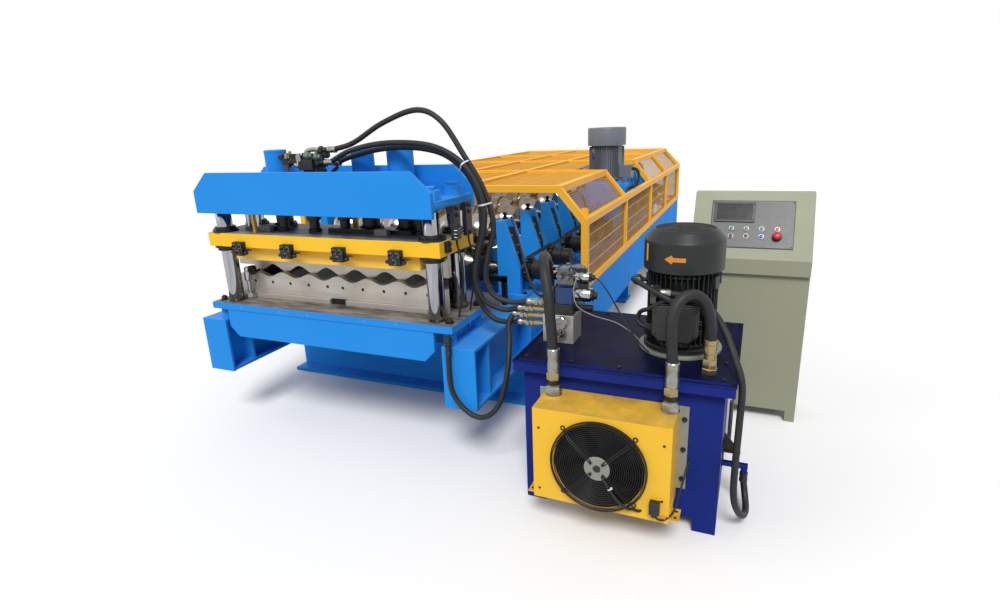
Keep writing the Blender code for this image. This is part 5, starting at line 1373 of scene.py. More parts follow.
def make_pump_motor():
    """Pump motor on the tank's lid: flange, barrel, fins, lugs and cowl."""
    centre = (PUMP_X, PUMP_Y)
    base = LID_TOP + GAP
    lathe((*centre, base), Z, [(0, PUMP_FLANGE_RADIUS), (0.01, PUMP_FLANGE_RADIUS), (0.012, 0.168),
        (0.012, 0.12)], 72)
    piece("pump_flange_ring", flange_grey, replaces=("pump_motor",))
    lathe((*centre, base + 0.012), Z, [(0, 0.15), (0.018, 0.15), (0.022, 0.146), (0.024, 0.12), (0.04, 0.114),
        (0.3, 0.114), (0.312, 0.128), (0.32, 0.128)], 72)
    piece("pump_motor_barrel", motor_green)
    ribs(centre, 0.11, 0.1405, base + 0.046, PUMP_COWL - 0.008, 40, 0.004)
    piece("pump_motor_fins", motor_green, bevel=0.0008)
    for spot, _ in ring((*centre, base + 0.032), 0.138, 8):
        bolt(spot, Z, 0.0085, 0.008)
    for angle in (0.28, 2.86, 3.6, 5.9):
        turn = Matrix.Rotation(angle, 4, "Z")
        before = len(DRAFT.verts)
        block((0.105, -0.018, base + 0.06), (0.15, 0.018, base + 0.105))
        block((0.105, -0.018, PUMP_COWL - 0.07), (0.15, 0.018, PUMP_COWL - 0.02))
        place_new(before, Matrix.Translation((*centre, 0)) @ turn)
    piece("pump_motor_lugs", motor_green, bevel=0.003)
    shoulder = PUMP_SHOULDER - PUMP_COWL
    rise = PUMP_TOP - PUMP_COWL
    lathe((*centre, PUMP_COWL), Z, [(0.002, PUMP_RADIUS - 0.004), (0, PUMP_RADIUS - 0.0015),
        (0.001, PUMP_RADIUS), (shoulder - 0.004, PUMP_RADIUS), (shoulder + 0.002, PUMP_RADIUS - 0.001),
        (shoulder + 0.006, PUMP_RADIUS - 0.004), (rise - 0.008, 0.13), (rise - 0.003, 0.126),
        (rise - 0.001, 0.121), (rise - 0.002, 0.117), (rise - 0.012, 0.114), (rise - 0.014, 0.012)], 96)
    piece("pump_motor_cowl", motor_green)
    grille(centre, 0.118, PUMP_TOP - 0.004, 0.0016, 15)
    piece("pump_motor_grille", iron)
    make_pump_box()
    make_arrow()
    make_pump_outlet()


def make_pump_box():
    """The eight-sided terminal box with its lid screws, glands and cables."""
    x0, x1 = PUMP_X - 0.094, PUMP_X + 0.084
    z0, z1 = LID_TOP + 0.082, LID_TOP + 0.238
    front, back = PUMP_Y - 0.203, PUMP_Y - 0.105
    cut = 0.026
    outline = [(x0 + cut, z0), (x1 - cut, z0), (x1, z0 + cut), (x1, z1 - cut), (x1 - cut, z1), (x0 + cut, z1),
        (x0, z1 - cut), (x0, z0 + cut)]
    prism(outline, "Y", front + 0.014, back)
    inset = 0.004
    middle = ((x0 + x1) / 2, (z0 + z1) / 2)
    lid = [
        (x + math.copysign(inset, middle[0] - x), z + math.copysign(inset, middle[1] - z)) for x, z in outline
    ]
    prism(lid, "Y", front, front + 0.013)
    piece("pump_box", plastic, bevel=0.004)
    for x in (x0 + 0.016, x1 - 0.016):
        for z in (z0 + 0.03, z1 - 0.03):
            cap_screw((x, front, z), -Y, 0.005, 0.005)
    for z in (z0 + 0.035, z0 + 0.075):
        for y in (front + 0.04, front + 0.072):
            lathe((x1, y, z), X, steps((0.004, 0.007), (0.012, 0.005)), 12)
    piece("pump_box_screws", iron)
    lathe((x0, front + 0.05, z0 + 0.045), -X, [(0, 0.017), (0.01, 0.017), (0.01, 0.013), (0.026, 0.012)], 6)
    pipe(curved([(x0 - 0.024, front + 0.05, z0 + 0.045), (x0 - 0.04, front + 0.045, z0 + 0.048),
        (x0 - 0.062, front + 0.06, z0 + 0.068), (x0 - 0.05, front + 0.055, z0 + 0.104),
        (x0 - 0.01, front + 0.03, z0 + 0.128), (x0 + 0.05, front + 0.02, z1 + 0.012),
        (x0 + 0.1, front + 0.03, z1 + 0.014), (x1 + 0.01, front + 0.06, z1 - 0.002),
        (x1 + 0.03, front + 0.1, z0 + 0.06), (x1 + 0.045, front + 0.15, z0 - 0.02),
        (x1 + 0.04, front + 0.19, LID_TOP + 0.01)]), 0.009, 10)
    pipe(curved([(x0 - 0.09, PUMP_Y - 0.115, 0.985), (x0 - 0.045, PUMP_Y - 0.16, 0.975),
        (x0 + 0.02, PUMP_Y - 0.188, 0.95), (x0 + 0.07, PUMP_Y - 0.195, 0.925),
        (x0 + 0.085, PUMP_Y - 0.185, 0.9), (x0 + 0.08, PUMP_Y - 0.165, z1 - 0.004)]), 0.011, 12)
    piece("pump_cables", rubber)
    loop((PUMP_X - 0.172, PUMP_Y - 0.075, 0.972), (0.4, -1, 0.2), 0.017, 0.0065, 32, 10)
    rod((PUMP_X - 0.155, PUMP_Y - 0.068, 0.972), (PUMP_X - 0.115, PUMP_Y - 0.05, 0.968), 0.009, 14)
    piece("pump_lifting_eye", motor_green)
    block((PUMP_X - 0.118, PUMP_Y - 0.112, 0.88), (PUMP_X - 0.085, PUMP_Y - 0.108, 0.96),
        Matrix.Rotation(math.radians(-40), 4, "Z"))
    piece("pump_plate", zinc, bevel=0.0008)


def on_cowl(x, z):
    """A point on the pump motor's cowl, given sideways from its front line and up."""
    angle = -math.pi / 2 + x / PUMP_RADIUS
    reach = PUMP_RADIUS + 0.0007
    return (PUMP_X + reach * math.cos(angle), PUMP_Y + reach * math.sin(angle), z)


def make_arrow():
    """The plain arrow for the direction of rotation, and a yellow strip beside it."""
    middle, left, right, neck = 1.08, -0.06, 0.024, -0.028
    columns = 14
    upper, lower = [], []
    for i in range(columns + 1):
        x = left + (right - left) * i / columns
        half = 0.019 * (x - left) / (neck - left) if x < neck else 0.0085
        upper.append(DRAFT.verts.new(on_cowl(x, middle + half)))
        lower.append(DRAFT.verts.new(on_cowl(x, middle - half)))
    for i in range(columns):
        DRAFT.faces.new((lower[i], lower[i + 1], upper[i + 1], upper[i]))
    piece("rotation_arrow", orange)
    low, high = 1.058, 1.128
    corners = [on_cowl(x, z) for x, z in ((-0.164, low), (-0.15, low), (-0.15, high), (-0.164, high))]
    DRAFT.faces.new([DRAFT.verts.new(corner) for corner in corners])
    piece("cowl_strip", yellow)


def make_pump_outlet():
    """Pressure port beside the pump motor with the hose's elbow."""
    y = -0.78
    rod((1.62, PUMP_Y - 0.1, 0.95), (1.62, y + 0.012, 0.95), 0.0125, 20)
    nut((1.62, PUMP_Y - 0.118, 0.95), -Y, 0.02, 0.018)
    block((1.604, y - 0.016, 0.934), (1.632, y + 0.016, 0.966))
    nut((1.632, y, 0.95), X, 0.018, 0.008)
    piece("pump_outlet", iron, bevel=0.002)
    crimp((1.641, y, 0.95), X, SIDE_HOSE_RADIUS, 0.04)
    piece("pump_outlet_crimp", zinc)


# Valve manifold on the tank

MANIFOLD_X, MANIFOLD_Y = (1.13, 1.27), (-0.73, -0.6)
MANIFOLD_PORTS = ((1.075, 0.832), (1.03, 0.8), (1.003, 0.768), (1.03, 0.732))
RETURN_INLET = (1.155, -0.695)


def solenoid(coil, cap, start, length, radius):
    """A coil with its end cap, along +X from where it meets the valve."""
    x, y, z = start
    lathe(start, X, [(0, radius * 0.62), (0.006, radius * 0.62), (0.006, radius), (length * 0.72, radius),
        (length * 0.74, radius * 0.96)], 40, bm=coil)
    lathe((x + length * 0.74, y, z), X, [(0, radius * 0.86), (length * 0.1, radius * 0.86),
        (length * 0.12, radius * 0.55), (length * 0.24, radius * 0.55), (length * 0.26, radius * 0.4)], 24,
        bm=cap)
    block((x + length * 0.15, y - radius * 0.5, z + radius * 0.85),
        (x + length * 0.6, y + radius * 0.5, z + radius * 1.65), bm=cap)


def make_manifold():
    """Manifold block with its stack of valves and coils."""
    base = LID_TOP + GAP
    block((MANIFOLD_X[0], MANIFOLD_Y[0], base), (MANIFOLD_X[1], MANIFOLD_Y[1], 0.8))
    piece("manifold_block", steel, bevel=0.002, replaces=("valve_manifold",))
    block((MANIFOLD_X[0] + 0.004, MANIFOLD_Y[0] + 0.006, 0.8003),
        (MANIFOLD_X[1] - 0.004, MANIFOLD_Y[1] - 0.006, 0.848))
    for z in (0.816, 0.832):
        lathe((MANIFOLD_X[1] - 0.004, PORT_Y, z), X, [(0, 0.009), (0.008, 0.009), (0.01, 0.006)], 6)
    lathe((*RETURN_INLET, 0.848), Z, [(0, 0.026), (0.012, 0.026), (0.016, 0.022), (0.028, 0.022)], 6)
    piece("manifold_subplate", iron, bevel=0.0015)
    block((1.186, MANIFOLD_Y[0] + 0.01, 0.8485), (1.262, MANIFOLD_Y[1] - 0.02, 0.922))
    block((1.2, MANIFOLD_Y[0] + 0.028, 0.9225), (1.252, MANIFOLD_Y[1] - 0.028, 0.934))
    piece("valve_body", blue_valve, bevel=0.003)
    block((1.192, MANIFOLD_Y[0] + 0.022, 0.9345), (1.262, MANIFOLD_Y[1] - 0.022, 0.995))
    for x, y in ((1.2, -0.7), (1.252, -0.7), (1.2, -0.63), (1.252, -0.63)):
        cap_screw((x, y, 0.995), Z, 0.006, 0.008)
    block((1.204, -0.716, 0.9955), (1.246, -0.676, 1.01))
    lathe((1.225, -0.65, 0.995), Z, [(0, 0.014), (0.012, 0.014), (0.014, 0.01), (0.022, 0.01)], 16)
    for x, y in ((1.212, -0.724), (1.244, -0.722)):
        lathe((x, y, 0.97), -Y, steps((0.012, 0.013), (0.022, 0.01)), 6)
    lathe((1.246, -0.655, 1.0), X, [(0, 0.011), (0.014, 0.011), (0.014, 0.016), (0.04, 0.016),
        (0.042, 0.012), (0.056, 0.012)], 20)
    piece("pilot_valve", cast_metal, bevel=0.002)
    bright, caps = bmesh.new(), bmesh.new()
    solenoid(bright, caps, (1.262, -0.672, 0.886), 0.1, 0.031)
    solenoid(bright, caps, (1.262, PORT_Y, 0.962), 0.086, 0.024)
    lathe((1.192, PORT_Y, 0.965), -X, [(0, 0.02), (0.004, 0.023), (0.03, 0.023), (0.032, 0.018)], 32,
        bm=bright)
    lathe((1.16, PORT_Y, 0.965), -X, [(0, 0.015), (0.012, 0.015), (0.014, 0.01)], 16, bm=caps)
    disc((1.19, -0.69, 1.003), -X, 0.012, 0.018, 16, bm=bright)
    piece("solenoid_coils", chrome, bm=bright)
    piece("solenoid_caps", plastic, bevel=0.0015, bm=caps)
    make_manifold_ports()
    make_gauge()
    make_manifold_wires()


def make_manifold_ports():
    """Hose ends on the manifold, and its relief screw."""
    gold = bmesh.new()
    y = PORT_Y
    for x, z in MANIFOLD_PORTS:
        gap = MANIFOLD_X[0] - x
        nut((x + GAP, y, z), X, 0.0185, 0.016)
        disc((x + 0.016, y, z), X, 0.0125, 0.008, 20)
        nut((x + 0.024, y, z), X, 0.017, 0.012, bm=gold)
        disc((x + 0.036, y, z), X, 0.0115, gap - 0.035, 20, bm=gold)
        crimp((x + 0.001, y, z), -X, HOSE_RADIUS, 0.042)
    piece("manifold_port_nuts", zinc)
    piece("manifold_port_necks", brass, bm=gold)
    crimp((*RETURN_INLET, 0.876), Z, COOLER_HOSE_RADIUS, 0.05)
    piece("return_inlet_crimp", zinc)
    lathe((1.266, PORT_Y, 0.824), X, [(0, 0.018), (0.01, 0.018), (0.011, 0.0135), (0.04, 0.0135),
        (0.041, 0.0155), (0.072, 0.0155), (0.075, 0.013)], 24)
    piece("relief_screw", black)


def make_gauge():
    """Pressure gauge with its scale, and the fittings on the manifold's front."""
    centre = Vector((1.222, MANIFOLD_Y[0] - 0.034, 0.775))
    lathe(centre + Y * 0.02, -Y, [(0, 0.02), (0.003, 0.026), (0.016, 0.026), (0.019, 0.029), (0.023, 0.029),
        (0.025, 0.0265), (0.022, 0.0245)], 48, capped=False)
    rod(centre + Vector((0, 0.006, -0.024)), centre + Vector((0, 0.006, -0.046)), 0.006, 14)
    nut(centre + Vector((0, 0.006, -0.052)), -Z, 0.01, 0.012)
    piece("gauge_case", chrome)
    disc(centre - Y * 0.0015, -Y, 0.0245, 0.0006, 40)
    piece("gauge_face", flange_grey)
    face = centre - Y * 0.0026
    for k in range(28):
        angle = math.radians(225 - 270 * k / 27)
        way = Vector((math.cos(angle), 0, math.sin(angle)))
        long = 0.004 if k % 3 == 0 else 0.0022
        rod(face + way * (0.022 - long), face + way * 0.022, 0.0003, 4)
    point = Vector((math.cos(3.4), 0, math.sin(3.4)))
    rod(face - Y * 0.0005 - point * 0.005, face - Y * 0.0005 + point * 0.018, 0.0006, 4)
    disc(face, -Y, 0.0022, 0.0012, 12)
    piece("gauge_marks", black)
    block((1.205, MANIFOLD_Y[0] - 0.018, 0.706), (1.24, MANIFOLD_Y[0] - 0.0005, 0.728))
    nut((1.18, MANIFOLD_Y[0], 0.712), -Y, 0.015, 0.02)
    nut((1.15, MANIFOLD_Y[0], 0.76), -Y, 0.013, 0.01)
    lathe((1.18, MANIFOLD_Y[0] - 0.02, 0.712), -Y, [(0, 0.009), (0.016, 0.009), (0.018, 0.006)], 12)
    piece("manifold_front_fittings", zinc, bevel=0.001)
    pipe(curved([(1.222, MANIFOLD_Y[0] - 0.028, 0.717), (1.205, MANIFOLD_Y[0] - 0.04, 0.712),
        (1.19, MANIFOLD_Y[0] - 0.044, 0.726), (1.182, MANIFOLD_Y[0] - 0.03, 0.742),
        (1.178, MANIFOLD_Y[0] + 0.002, 0.748)]), 0.004, 8)
    piece("gauge_pipe", copper)


def make_manifold_wires():
    """Wires from the coils, and the cable from the press."""
    pipe(curved([(1.3, -0.69, 0.99), (1.288, -0.73, 0.975), (1.278, -0.752, 0.93), (1.285, -0.757, 0.88),
        (1.31, -0.755, 0.845), (1.37, -0.735, 0.812), (1.45, -0.7, 0.78), (1.52, -0.69, 0.735),
        (1.57, -0.7, 0.69), (1.585, -0.705, LID_TOP + 0.004)]), 0.0024, 6)
    piece("thin_wire", flange_grey)
    pipe(curved([(1.345, -0.665, 0.962), (1.372, -0.672, 0.95), (1.42, -0.68, 0.89), (1.47, -0.69, 0.81),
        (1.53, -0.715, 0.735), (1.58, -0.735, 0.69), (1.6, -0.735, LID_TOP + 0.004)]), 0.0032, 6)
    pipe(curved([(0.7, -0.01, 1.11), (0.735, -0.035, 1.03), (0.775, -0.06, 0.93), (0.83, -0.14, 0.85),
        (0.92, -0.3, 0.805), (1.02, -0.46, 0.8), (1.12, -0.58, 0.86), (1.195, -0.64, 0.95)]), 0.0065, 8)
    piece("signal_cables", rubber)


# Tank, cooler with its fan guard, and the hose ends

TANK_X, TANK_Y = (1.113, 1.911), (-0.929, -0.254)
RETURN_PORT = (1.845, -0.864)
RIM = 0.035


def make_tank_details():
    """Screws and rim of the lid, level glass, plugs and ports."""
    x0, x1 = TANK_X[0] - RIM + 0.045, TANK_X[1] + RIM - 0.045
    y0, y1 = TANK_Y[0] - RIM + 0.045, TANK_Y[1] + RIM - 0.045
    for i in range(5):
        x = x0 + (x1 - x0) * i / 4
        for y in (y0, y1):
            if math.dist((x, y), RETURN_PORT) > 0.05:
                cap_screw((x, y, LID_TOP), Z, 0.007, 0.007)
    for i in range(1, 4):
        for x in (x0, x1):
            cap_screw((x, y0 + (y1 - y0) * i / 4, LID_TOP), Z, 0.007, 0.007)
    piece("tank_lid_screws", iron)
    low, high = 0.621, 0.6615
    front, back = TANK_Y[0] - RIM, TANK_Y[1] + RIM
    left, right = TANK_X[0] - RIM, TANK_X[1] + RIM
    turn = 0.004
    block((left - turn, front - turn, high), (right + turn, front + 0.006, high + 0.005))
    block((left - turn, back - 0.006, high), (right + turn, back + turn, high + 0.005))
    block((left - turn, front + 0.006, high), (left + 0.006, back - 0.006, high + 0.005))
    block((right - 0.006, front + 0.006, high), (right + turn, back - 0.006, high + 0.005))
    piece("tank_rim_lip", navy, bevel=0.0015)
    block((right - 0.0005, front + 0.006, 0.566), (right + 0.0005, front + 0.03, 0.6205))
    block((right + 0.0001, front + 0.01, 0.622), (right + 0.001, front + 0.075, 0.66))
    piece("primer_patch", red_oxide)
    x = TANK_X[1]
    block((x, -0.735, 0.2), (x + 0.004, -0.665, 0.3))
    block((x + 0.004, -0.712, 0.255), (x + 0.07, -0.69, 0.262))
    prism([(x + 0.003, 0.262), (x + 0.07, 0.262), (x + 0.003, 0.345)], "Y", -0.703, -0.697)
    piece("side_port_bracket", iron, bevel=0.001)
    for z in (0.2, 0.4):
        rod((TANK_X[1], -0.5, z), (TANK_X[1] + 0.018, -0.5, z), 0.013, 20)
    nut((TANK_X[1], -0.4, 0.11), X, 0.022, 0.018)
    piece("tank_plugs", zinc)
    rod((TANK_X[1] + 0.018, -0.5, 0.185), (TANK_X[1] + 0.018, -0.5, 0.415), 0.01, 20)
    piece("level_glass", glass_dark)
    block((TANK_X[1] + 0.001, -0.52, 0.18), (TANK_X[1] + 0.01, -0.48, 0.42))
    piece("level_glass_frame", white, bevel=0.002)
    nut((*RETURN_PORT, LID_TOP), Z, 0.03, 0.022)
    disc((*RETURN_PORT, LID_TOP + 0.022), Z, 0.022, 0.01, 28)
    nut((*RETURN_PORT, LID_TOP + 0.032), Z, 0.028, 0.026)
    disc((*RETURN_PORT, LID_TOP + 0.058), Z, 0.023, 0.026, 28)
    piece("return_port", brass)
    crimp((*RETURN_PORT, 0.7553), Z, COOLER_HOSE_RADIUS, 0.052)
    piece("return_port_crimp", brass)


COOLER_X, COOLER_Z = (1.221, 1.752), (0.158, 0.553)
COOLER_FRONT, COOLER_BACK = -1.1323, -0.9293
FAN_X, FAN_Z = 1.484, 0.349
FAN_RADIUS, WELL_RADIUS, GUARD_RADIUS = 0.159, 0.173, 0.186
COOLER_PORTS = ((1.263, -0.99), (1.724, -0.99))
COOLER_SIDES = tuple(zip((-1, 1), COOLER_X))


def make_cooler():
    """The cooler's sheet box, with the round shroud opening cut in its front."""
    x0, x1 = COOLER_X
    z0, z1 = COOLER_Z
    sides = 96
    front, hole_front, hole_back = [], [], []
    depth = 0.074
    for i in range(sides):
        angle = 2 * math.pi * i / sides
        c, s = math.cos(angle), math.sin(angle)
        x, z = FAN_X + WELL_RADIUS * c, FAN_Z + WELL_RADIUS * s
        hole_front.append(DRAFT.verts.new((x, COOLER_FRONT, z)))
        hole_back.append(DRAFT.verts.new((x, COOLER_FRONT + depth, z)))
        reach = min(((x1 if c > 0 else x0) - FAN_X) / c if abs(c) > 1e-6 else 9,
            ((z1 if s > 0 else z0) - FAN_Z) / s if abs(s) > 1e-6 else 9)
        front.append((FAN_X + reach * c, FAN_Z + reach * s))
    outline = [DRAFT.verts.new((x, COOLER_FRONT, z)) for x, z in front]
    skin_rings([hole_back, hole_front, outline])
    DRAFT.faces.new(hole_back)
    rear = [DRAFT.verts.new((x, COOLER_BACK - 0.006, z)) for x, z in front]
    skin_rings([outline, rear])
    DRAFT.faces.new(rear)
    for place in ((x0, z0), (x1, z0), (x1, z1), (x0, z1)):
        nearest = min(range(sides), key=lambda i: math.dist(front[i], place))
        for vert in (outline[nearest], rear[nearest]):
            vert.co.x, vert.co.z = place
    piece("cooler_box", cooler_yellow, replaces=("oil_cooler",))
    make_cooler_details()


def make_cooler_details():
    """Flanges, feet, screws and hose ports of the cooler."""
    for side, x in COOLER_SIDES:
        block((x - side * 0.01, COOLER_BACK - 0.0055, 0.19), (x + side * 0.036, COOLER_BACK - GAP, 0.55))
    piece("cooler_flange", flange_grey, bevel=0.001)
    for side, x in COOLER_SIDES:
        for z in (0.235, 0.365, 0.495):
            bolt((x + side * 0.02, COOLER_BACK - 0.0055, z), -Y, 0.008, 0.007)
    piece("cooler_flange_bolts", iron)
    foot, front, back = COOLER_Z[0], COOLER_FRONT + 0.02, COOLER_FRONT + 0.1
    for side, x in COOLER_SIDES:
        block((x - side * 0.002, front, foot), (x + side * 0.034, back, foot + 0.004))
        block((x - side * 0.0005, front, foot + 0.004), (x + side * 0.0035, back, foot + 0.05))
    piece("cooler_feet", cooler_yellow, bevel=0.001)
    for side, x in COOLER_SIDES:
        for y in (0.04, 0.08):
            lathe((x + side * 0.019, COOLER_FRONT + y, COOLER_Z[0] + 0.004), Z, [(0, 0.006), (0.001, 0.006)],
                16)
    for x, z in ((1.246, 0.47), (1.725, 0.48), (1.246, 0.2), (1.725, 0.25), (1.69, 0.225)):
        lathe((x, COOLER_FRONT, z), -Y, [(0, 0.005), (0.002, 0.005), (0.003, 0.0035)], 14)
    piece("cooler_screws", iron)
    for x, y in COOLER_PORTS:
        top = COOLER_Z[1]
        lathe((x, y, top), Z, [(0, 0.034), (0.003, 0.034), (0.003, 0.03)], 28)
        nut((x, y, top + 0.003), Z, 0.0345, 0.034)
        lathe((x, y, top + 0.037), Z, [(0, 0.028), (0.006, 0.028), (0.008, 0.024)], 28)
    piece("cooler_port_hexes", zinc)
    for x, y in COOLER_PORTS:
        lathe((x, y, COOLER_Z[1] + 0.043), Z, [(0, 0.0235), (0.026, 0.0235)], 28)
    piece("cooler_port_rings", black)
    for x, y in COOLER_PORTS:
        nut((x, y, COOLER_Z[1] + 0.066), Z, 0.0285, 0.03)
        lathe((x, y, COOLER_Z[1] + 0.096), Z, [(0, 0.022), (0.006, 0.022)], 28)
    piece("cooler_port_nuts", brass)
    for x, y in COOLER_PORTS:
        crimp((x, y, COOLER_Z[1] + 0.1), Z, COOLER_HOSE_RADIUS, 0.098)
    piece("cooler_port_crimps", zinc)


def make_fan():
    """Five sickle blades on the hub, behind a guard of fine concentric wires."""
    centre = Vector((FAN_X, COOLER_FRONT, FAN_Z))
    lathe(centre + Y * 0.014, Y, [(0, 0.04), (0.002, 0.046), (0.006, 0.048), (0.05, 0.048), (0.052, 0.046)],
        40)
    for index in range(5):
        start = 2 * math.pi * index / 5
        steps, width = 10, 6
        grid = []
        for i in range(steps + 1):
            part = i / steps
            radius = 0.044 + (FAN_RADIUS - 0.044) * part
            sweep = start + 0.3 * part * part
            span = 0.62 + 0.26 * part
            row = []
            for j in range(width + 1):
                across_blade = j / width - 0.5
                angle = sweep + across_blade * span
                y = 0.034 - across_blade * 0.04 + 0.006 * (4 * across_blade * across_blade - 1)
                row.append(Vector((radius * math.cos(angle), y, radius * math.sin(angle))))
            grid.append(row)
        for thick in (0.0, 0.0018):
            sheet = [[DRAFT.verts.new(centre + p + Y * thick) for p in row] for row in grid]
            for i in range(steps):
                for j in range(width):
                    DRAFT.faces.new((sheet[i][j], sheet[i + 1][j], sheet[i + 1][j + 1], sheet[i][j + 1]))
    bmesh.ops.remove_doubles(DRAFT, verts=DRAFT.verts, dist=1e-6)
    piece("fan_rotor", black_and_painted_shade, FAN, replaces=("cooler_fan",))
    make_fan_guard()


def make_fan_guard():
    """Shroud, guard wires and motor in front of the fan, with its cable."""
    centre = Vector((FAN_X, COOLER_FRONT, FAN_Z))
    lathe(centre + Y * 0.002, Y, [(0.072, WELL_RADIUS - 0.0006), (0.004, WELL_RADIUS - 0.0006),
        (0.0, WELL_RADIUS + 0.003), (-0.0035, WELL_RADIUS + 0.003), (-0.0035, WELL_RADIUS - 0.006),
        (0.004, WELL_RADIUS - 0.01), (0.07, WELL_RADIUS - 0.012), (0.07, 0.02)], 72)
    piece("fan_shroud", black_and_painted_shade, replaces=("fan_guard",))
    count = 17
    face = COOLER_FRONT - 0.0225
    for i in range(count):
        part = i / (count - 1)
        radius = 0.056 + (GUARD_RADIUS - 0.056) * part
        loop((FAN_X, face, FAN_Z), Y, min(radius, GUARD_RADIUS - 0.003), 0.0017, 72, 5)
    for step in range(1, 4):
        loop((FAN_X, face + 0.0062 * step, FAN_Z), Y, GUARD_RADIUS, 0.0017, 72, 5)
    for eye, out in ring(centre - Y * 0.003, GUARD_RADIUS + 0.01, 4, "Y"):
        for shift in (-0.0045, 0.0045):
            base = centre + out.cross(Y) * shift
            bends = ((0.038, -0.0255), (GUARD_RADIUS - 0.03, -0.0255), (GUARD_RADIUS + 0.003, -0.004))
            pipe([base + out * reach + Y * depth for reach, depth in bends], 0.002, 6)
        loop(eye, Y, 0.008, 0.0022, 20, 6)
    piece("fan_guard_wires", black)
    lathe((FAN_X, face + 0.004, FAN_Z), -Y, [(0, 0.05), (0.004, 0.05), (0.0055, 0.048), (0.0055, 0.016),
        (0.002, 0.015), (0.002, 0.003)], 48)
    piece("fan_motor_plate", flange_grey)
    lathe((FAN_X, COOLER_FRONT + 0.012, FAN_Z), -Y, [(0, 0.036), (0.0295, 0.036), (0.0305, 0.034)], 40)
    for spot, _ in ring((FAN_X, face - 0.0015, FAN_Z), 0.034, 4, "Y"):
        cap_screw(spot, -Y, 0.006, 0.006)
    disc((FAN_X, face - 0.001, FAN_Z), -Y, 0.0135, 0.001, 24)
    piece("fan_motor", iron)
    pipe(curved([(1.506, face - 0.004, 0.322), (1.522, face - 0.008, 0.298), (1.545, face - 0.009, 0.262),
        (1.57, face - 0.007, 0.232), (1.598, face - 0.004, 0.208), (1.622, COOLER_FRONT - 0.008, 0.196),
        (1.64, COOLER_FRONT - 0.004, 0.19), (1.65, COOLER_FRONT + 0.004, 0.192)]), 0.0058, 10)
    pipe(curved([(1.7, COOLER_FRONT - 0.012, 0.197), (1.712, COOLER_FRONT - 0.016, 0.183),
        (1.738, COOLER_FRONT - 0.01, 0.181), (1.765, COOLER_FRONT + 0.03, 0.195),
        (1.775, COOLER_FRONT + 0.1, 0.225), (1.786, COOLER_FRONT + 0.16, 0.268),
        (1.792, COOLER_BACK - 0.014, 0.3), (1.8, COOLER_BACK - 0.004, 0.32)]), 0.004, 8)
    piece("fan_cable", rubber)
    block((1.682, COOLER_FRONT - 0.028, 0.2), (1.72, COOLER_FRONT - 0.0005, 0.252))
    block((1.69, COOLER_FRONT - 0.022, 0.186), (1.708, COOLER_FRONT - 0.004, 0.2))
    piece("fan_connector", plastic, bevel=0.003)
    block((1.722, COOLER_FRONT - 0.012, 0.178), (1.742, COOLER_FRONT - 0.0008, 0.192))
    piece("fan_connector_clip", orange, bevel=0.002)
    tie((1.535, face - 0.0085, 0.278), (0.5, 0, -0.8), 0.0062, 0.004)
    piece("fan_cable_tie", white)


# Control console

CONSOLE_X = (1.655, 2.24)
CONSOLE_FRONT, CONSOLE_SILL, CONSOLE_TOP = 0.152, 0.894, 1.212
SLOPE_DEPTH = 0.2
CONSOLE_DEPTH = 0.28
PANEL_HEIGHT, PLATE_TOP = 0.262, 0.0055
PANEL_START = math.hypot(CONSOLE_TOP - CONSOLE_SILL, SLOPE_DEPTH) - 0.051 - PANEL_HEIGHT


def panel_place():
    """From the panel's own plane to the console's slope."""
    slope = math.atan2(CONSOLE_TOP - CONSOLE_SILL, SLOPE_DEPTH)
    middle = (CONSOLE_X[0] + CONSOLE_X[1]) / 2
    return Matrix.Translation((middle, CONSOLE_FRONT, CONSOLE_SILL)) @ Matrix.Rotation(slope, 4, "X")


def panel_piece(name, look, bevel=0.0, replaces=(), bm=DRAFT):
    bmesh.ops.transform(bm, verts=bm.verts, matrix=panel_place())
    return piece(name, look, bevel=bevel, replaces=replaces, bm=bm)


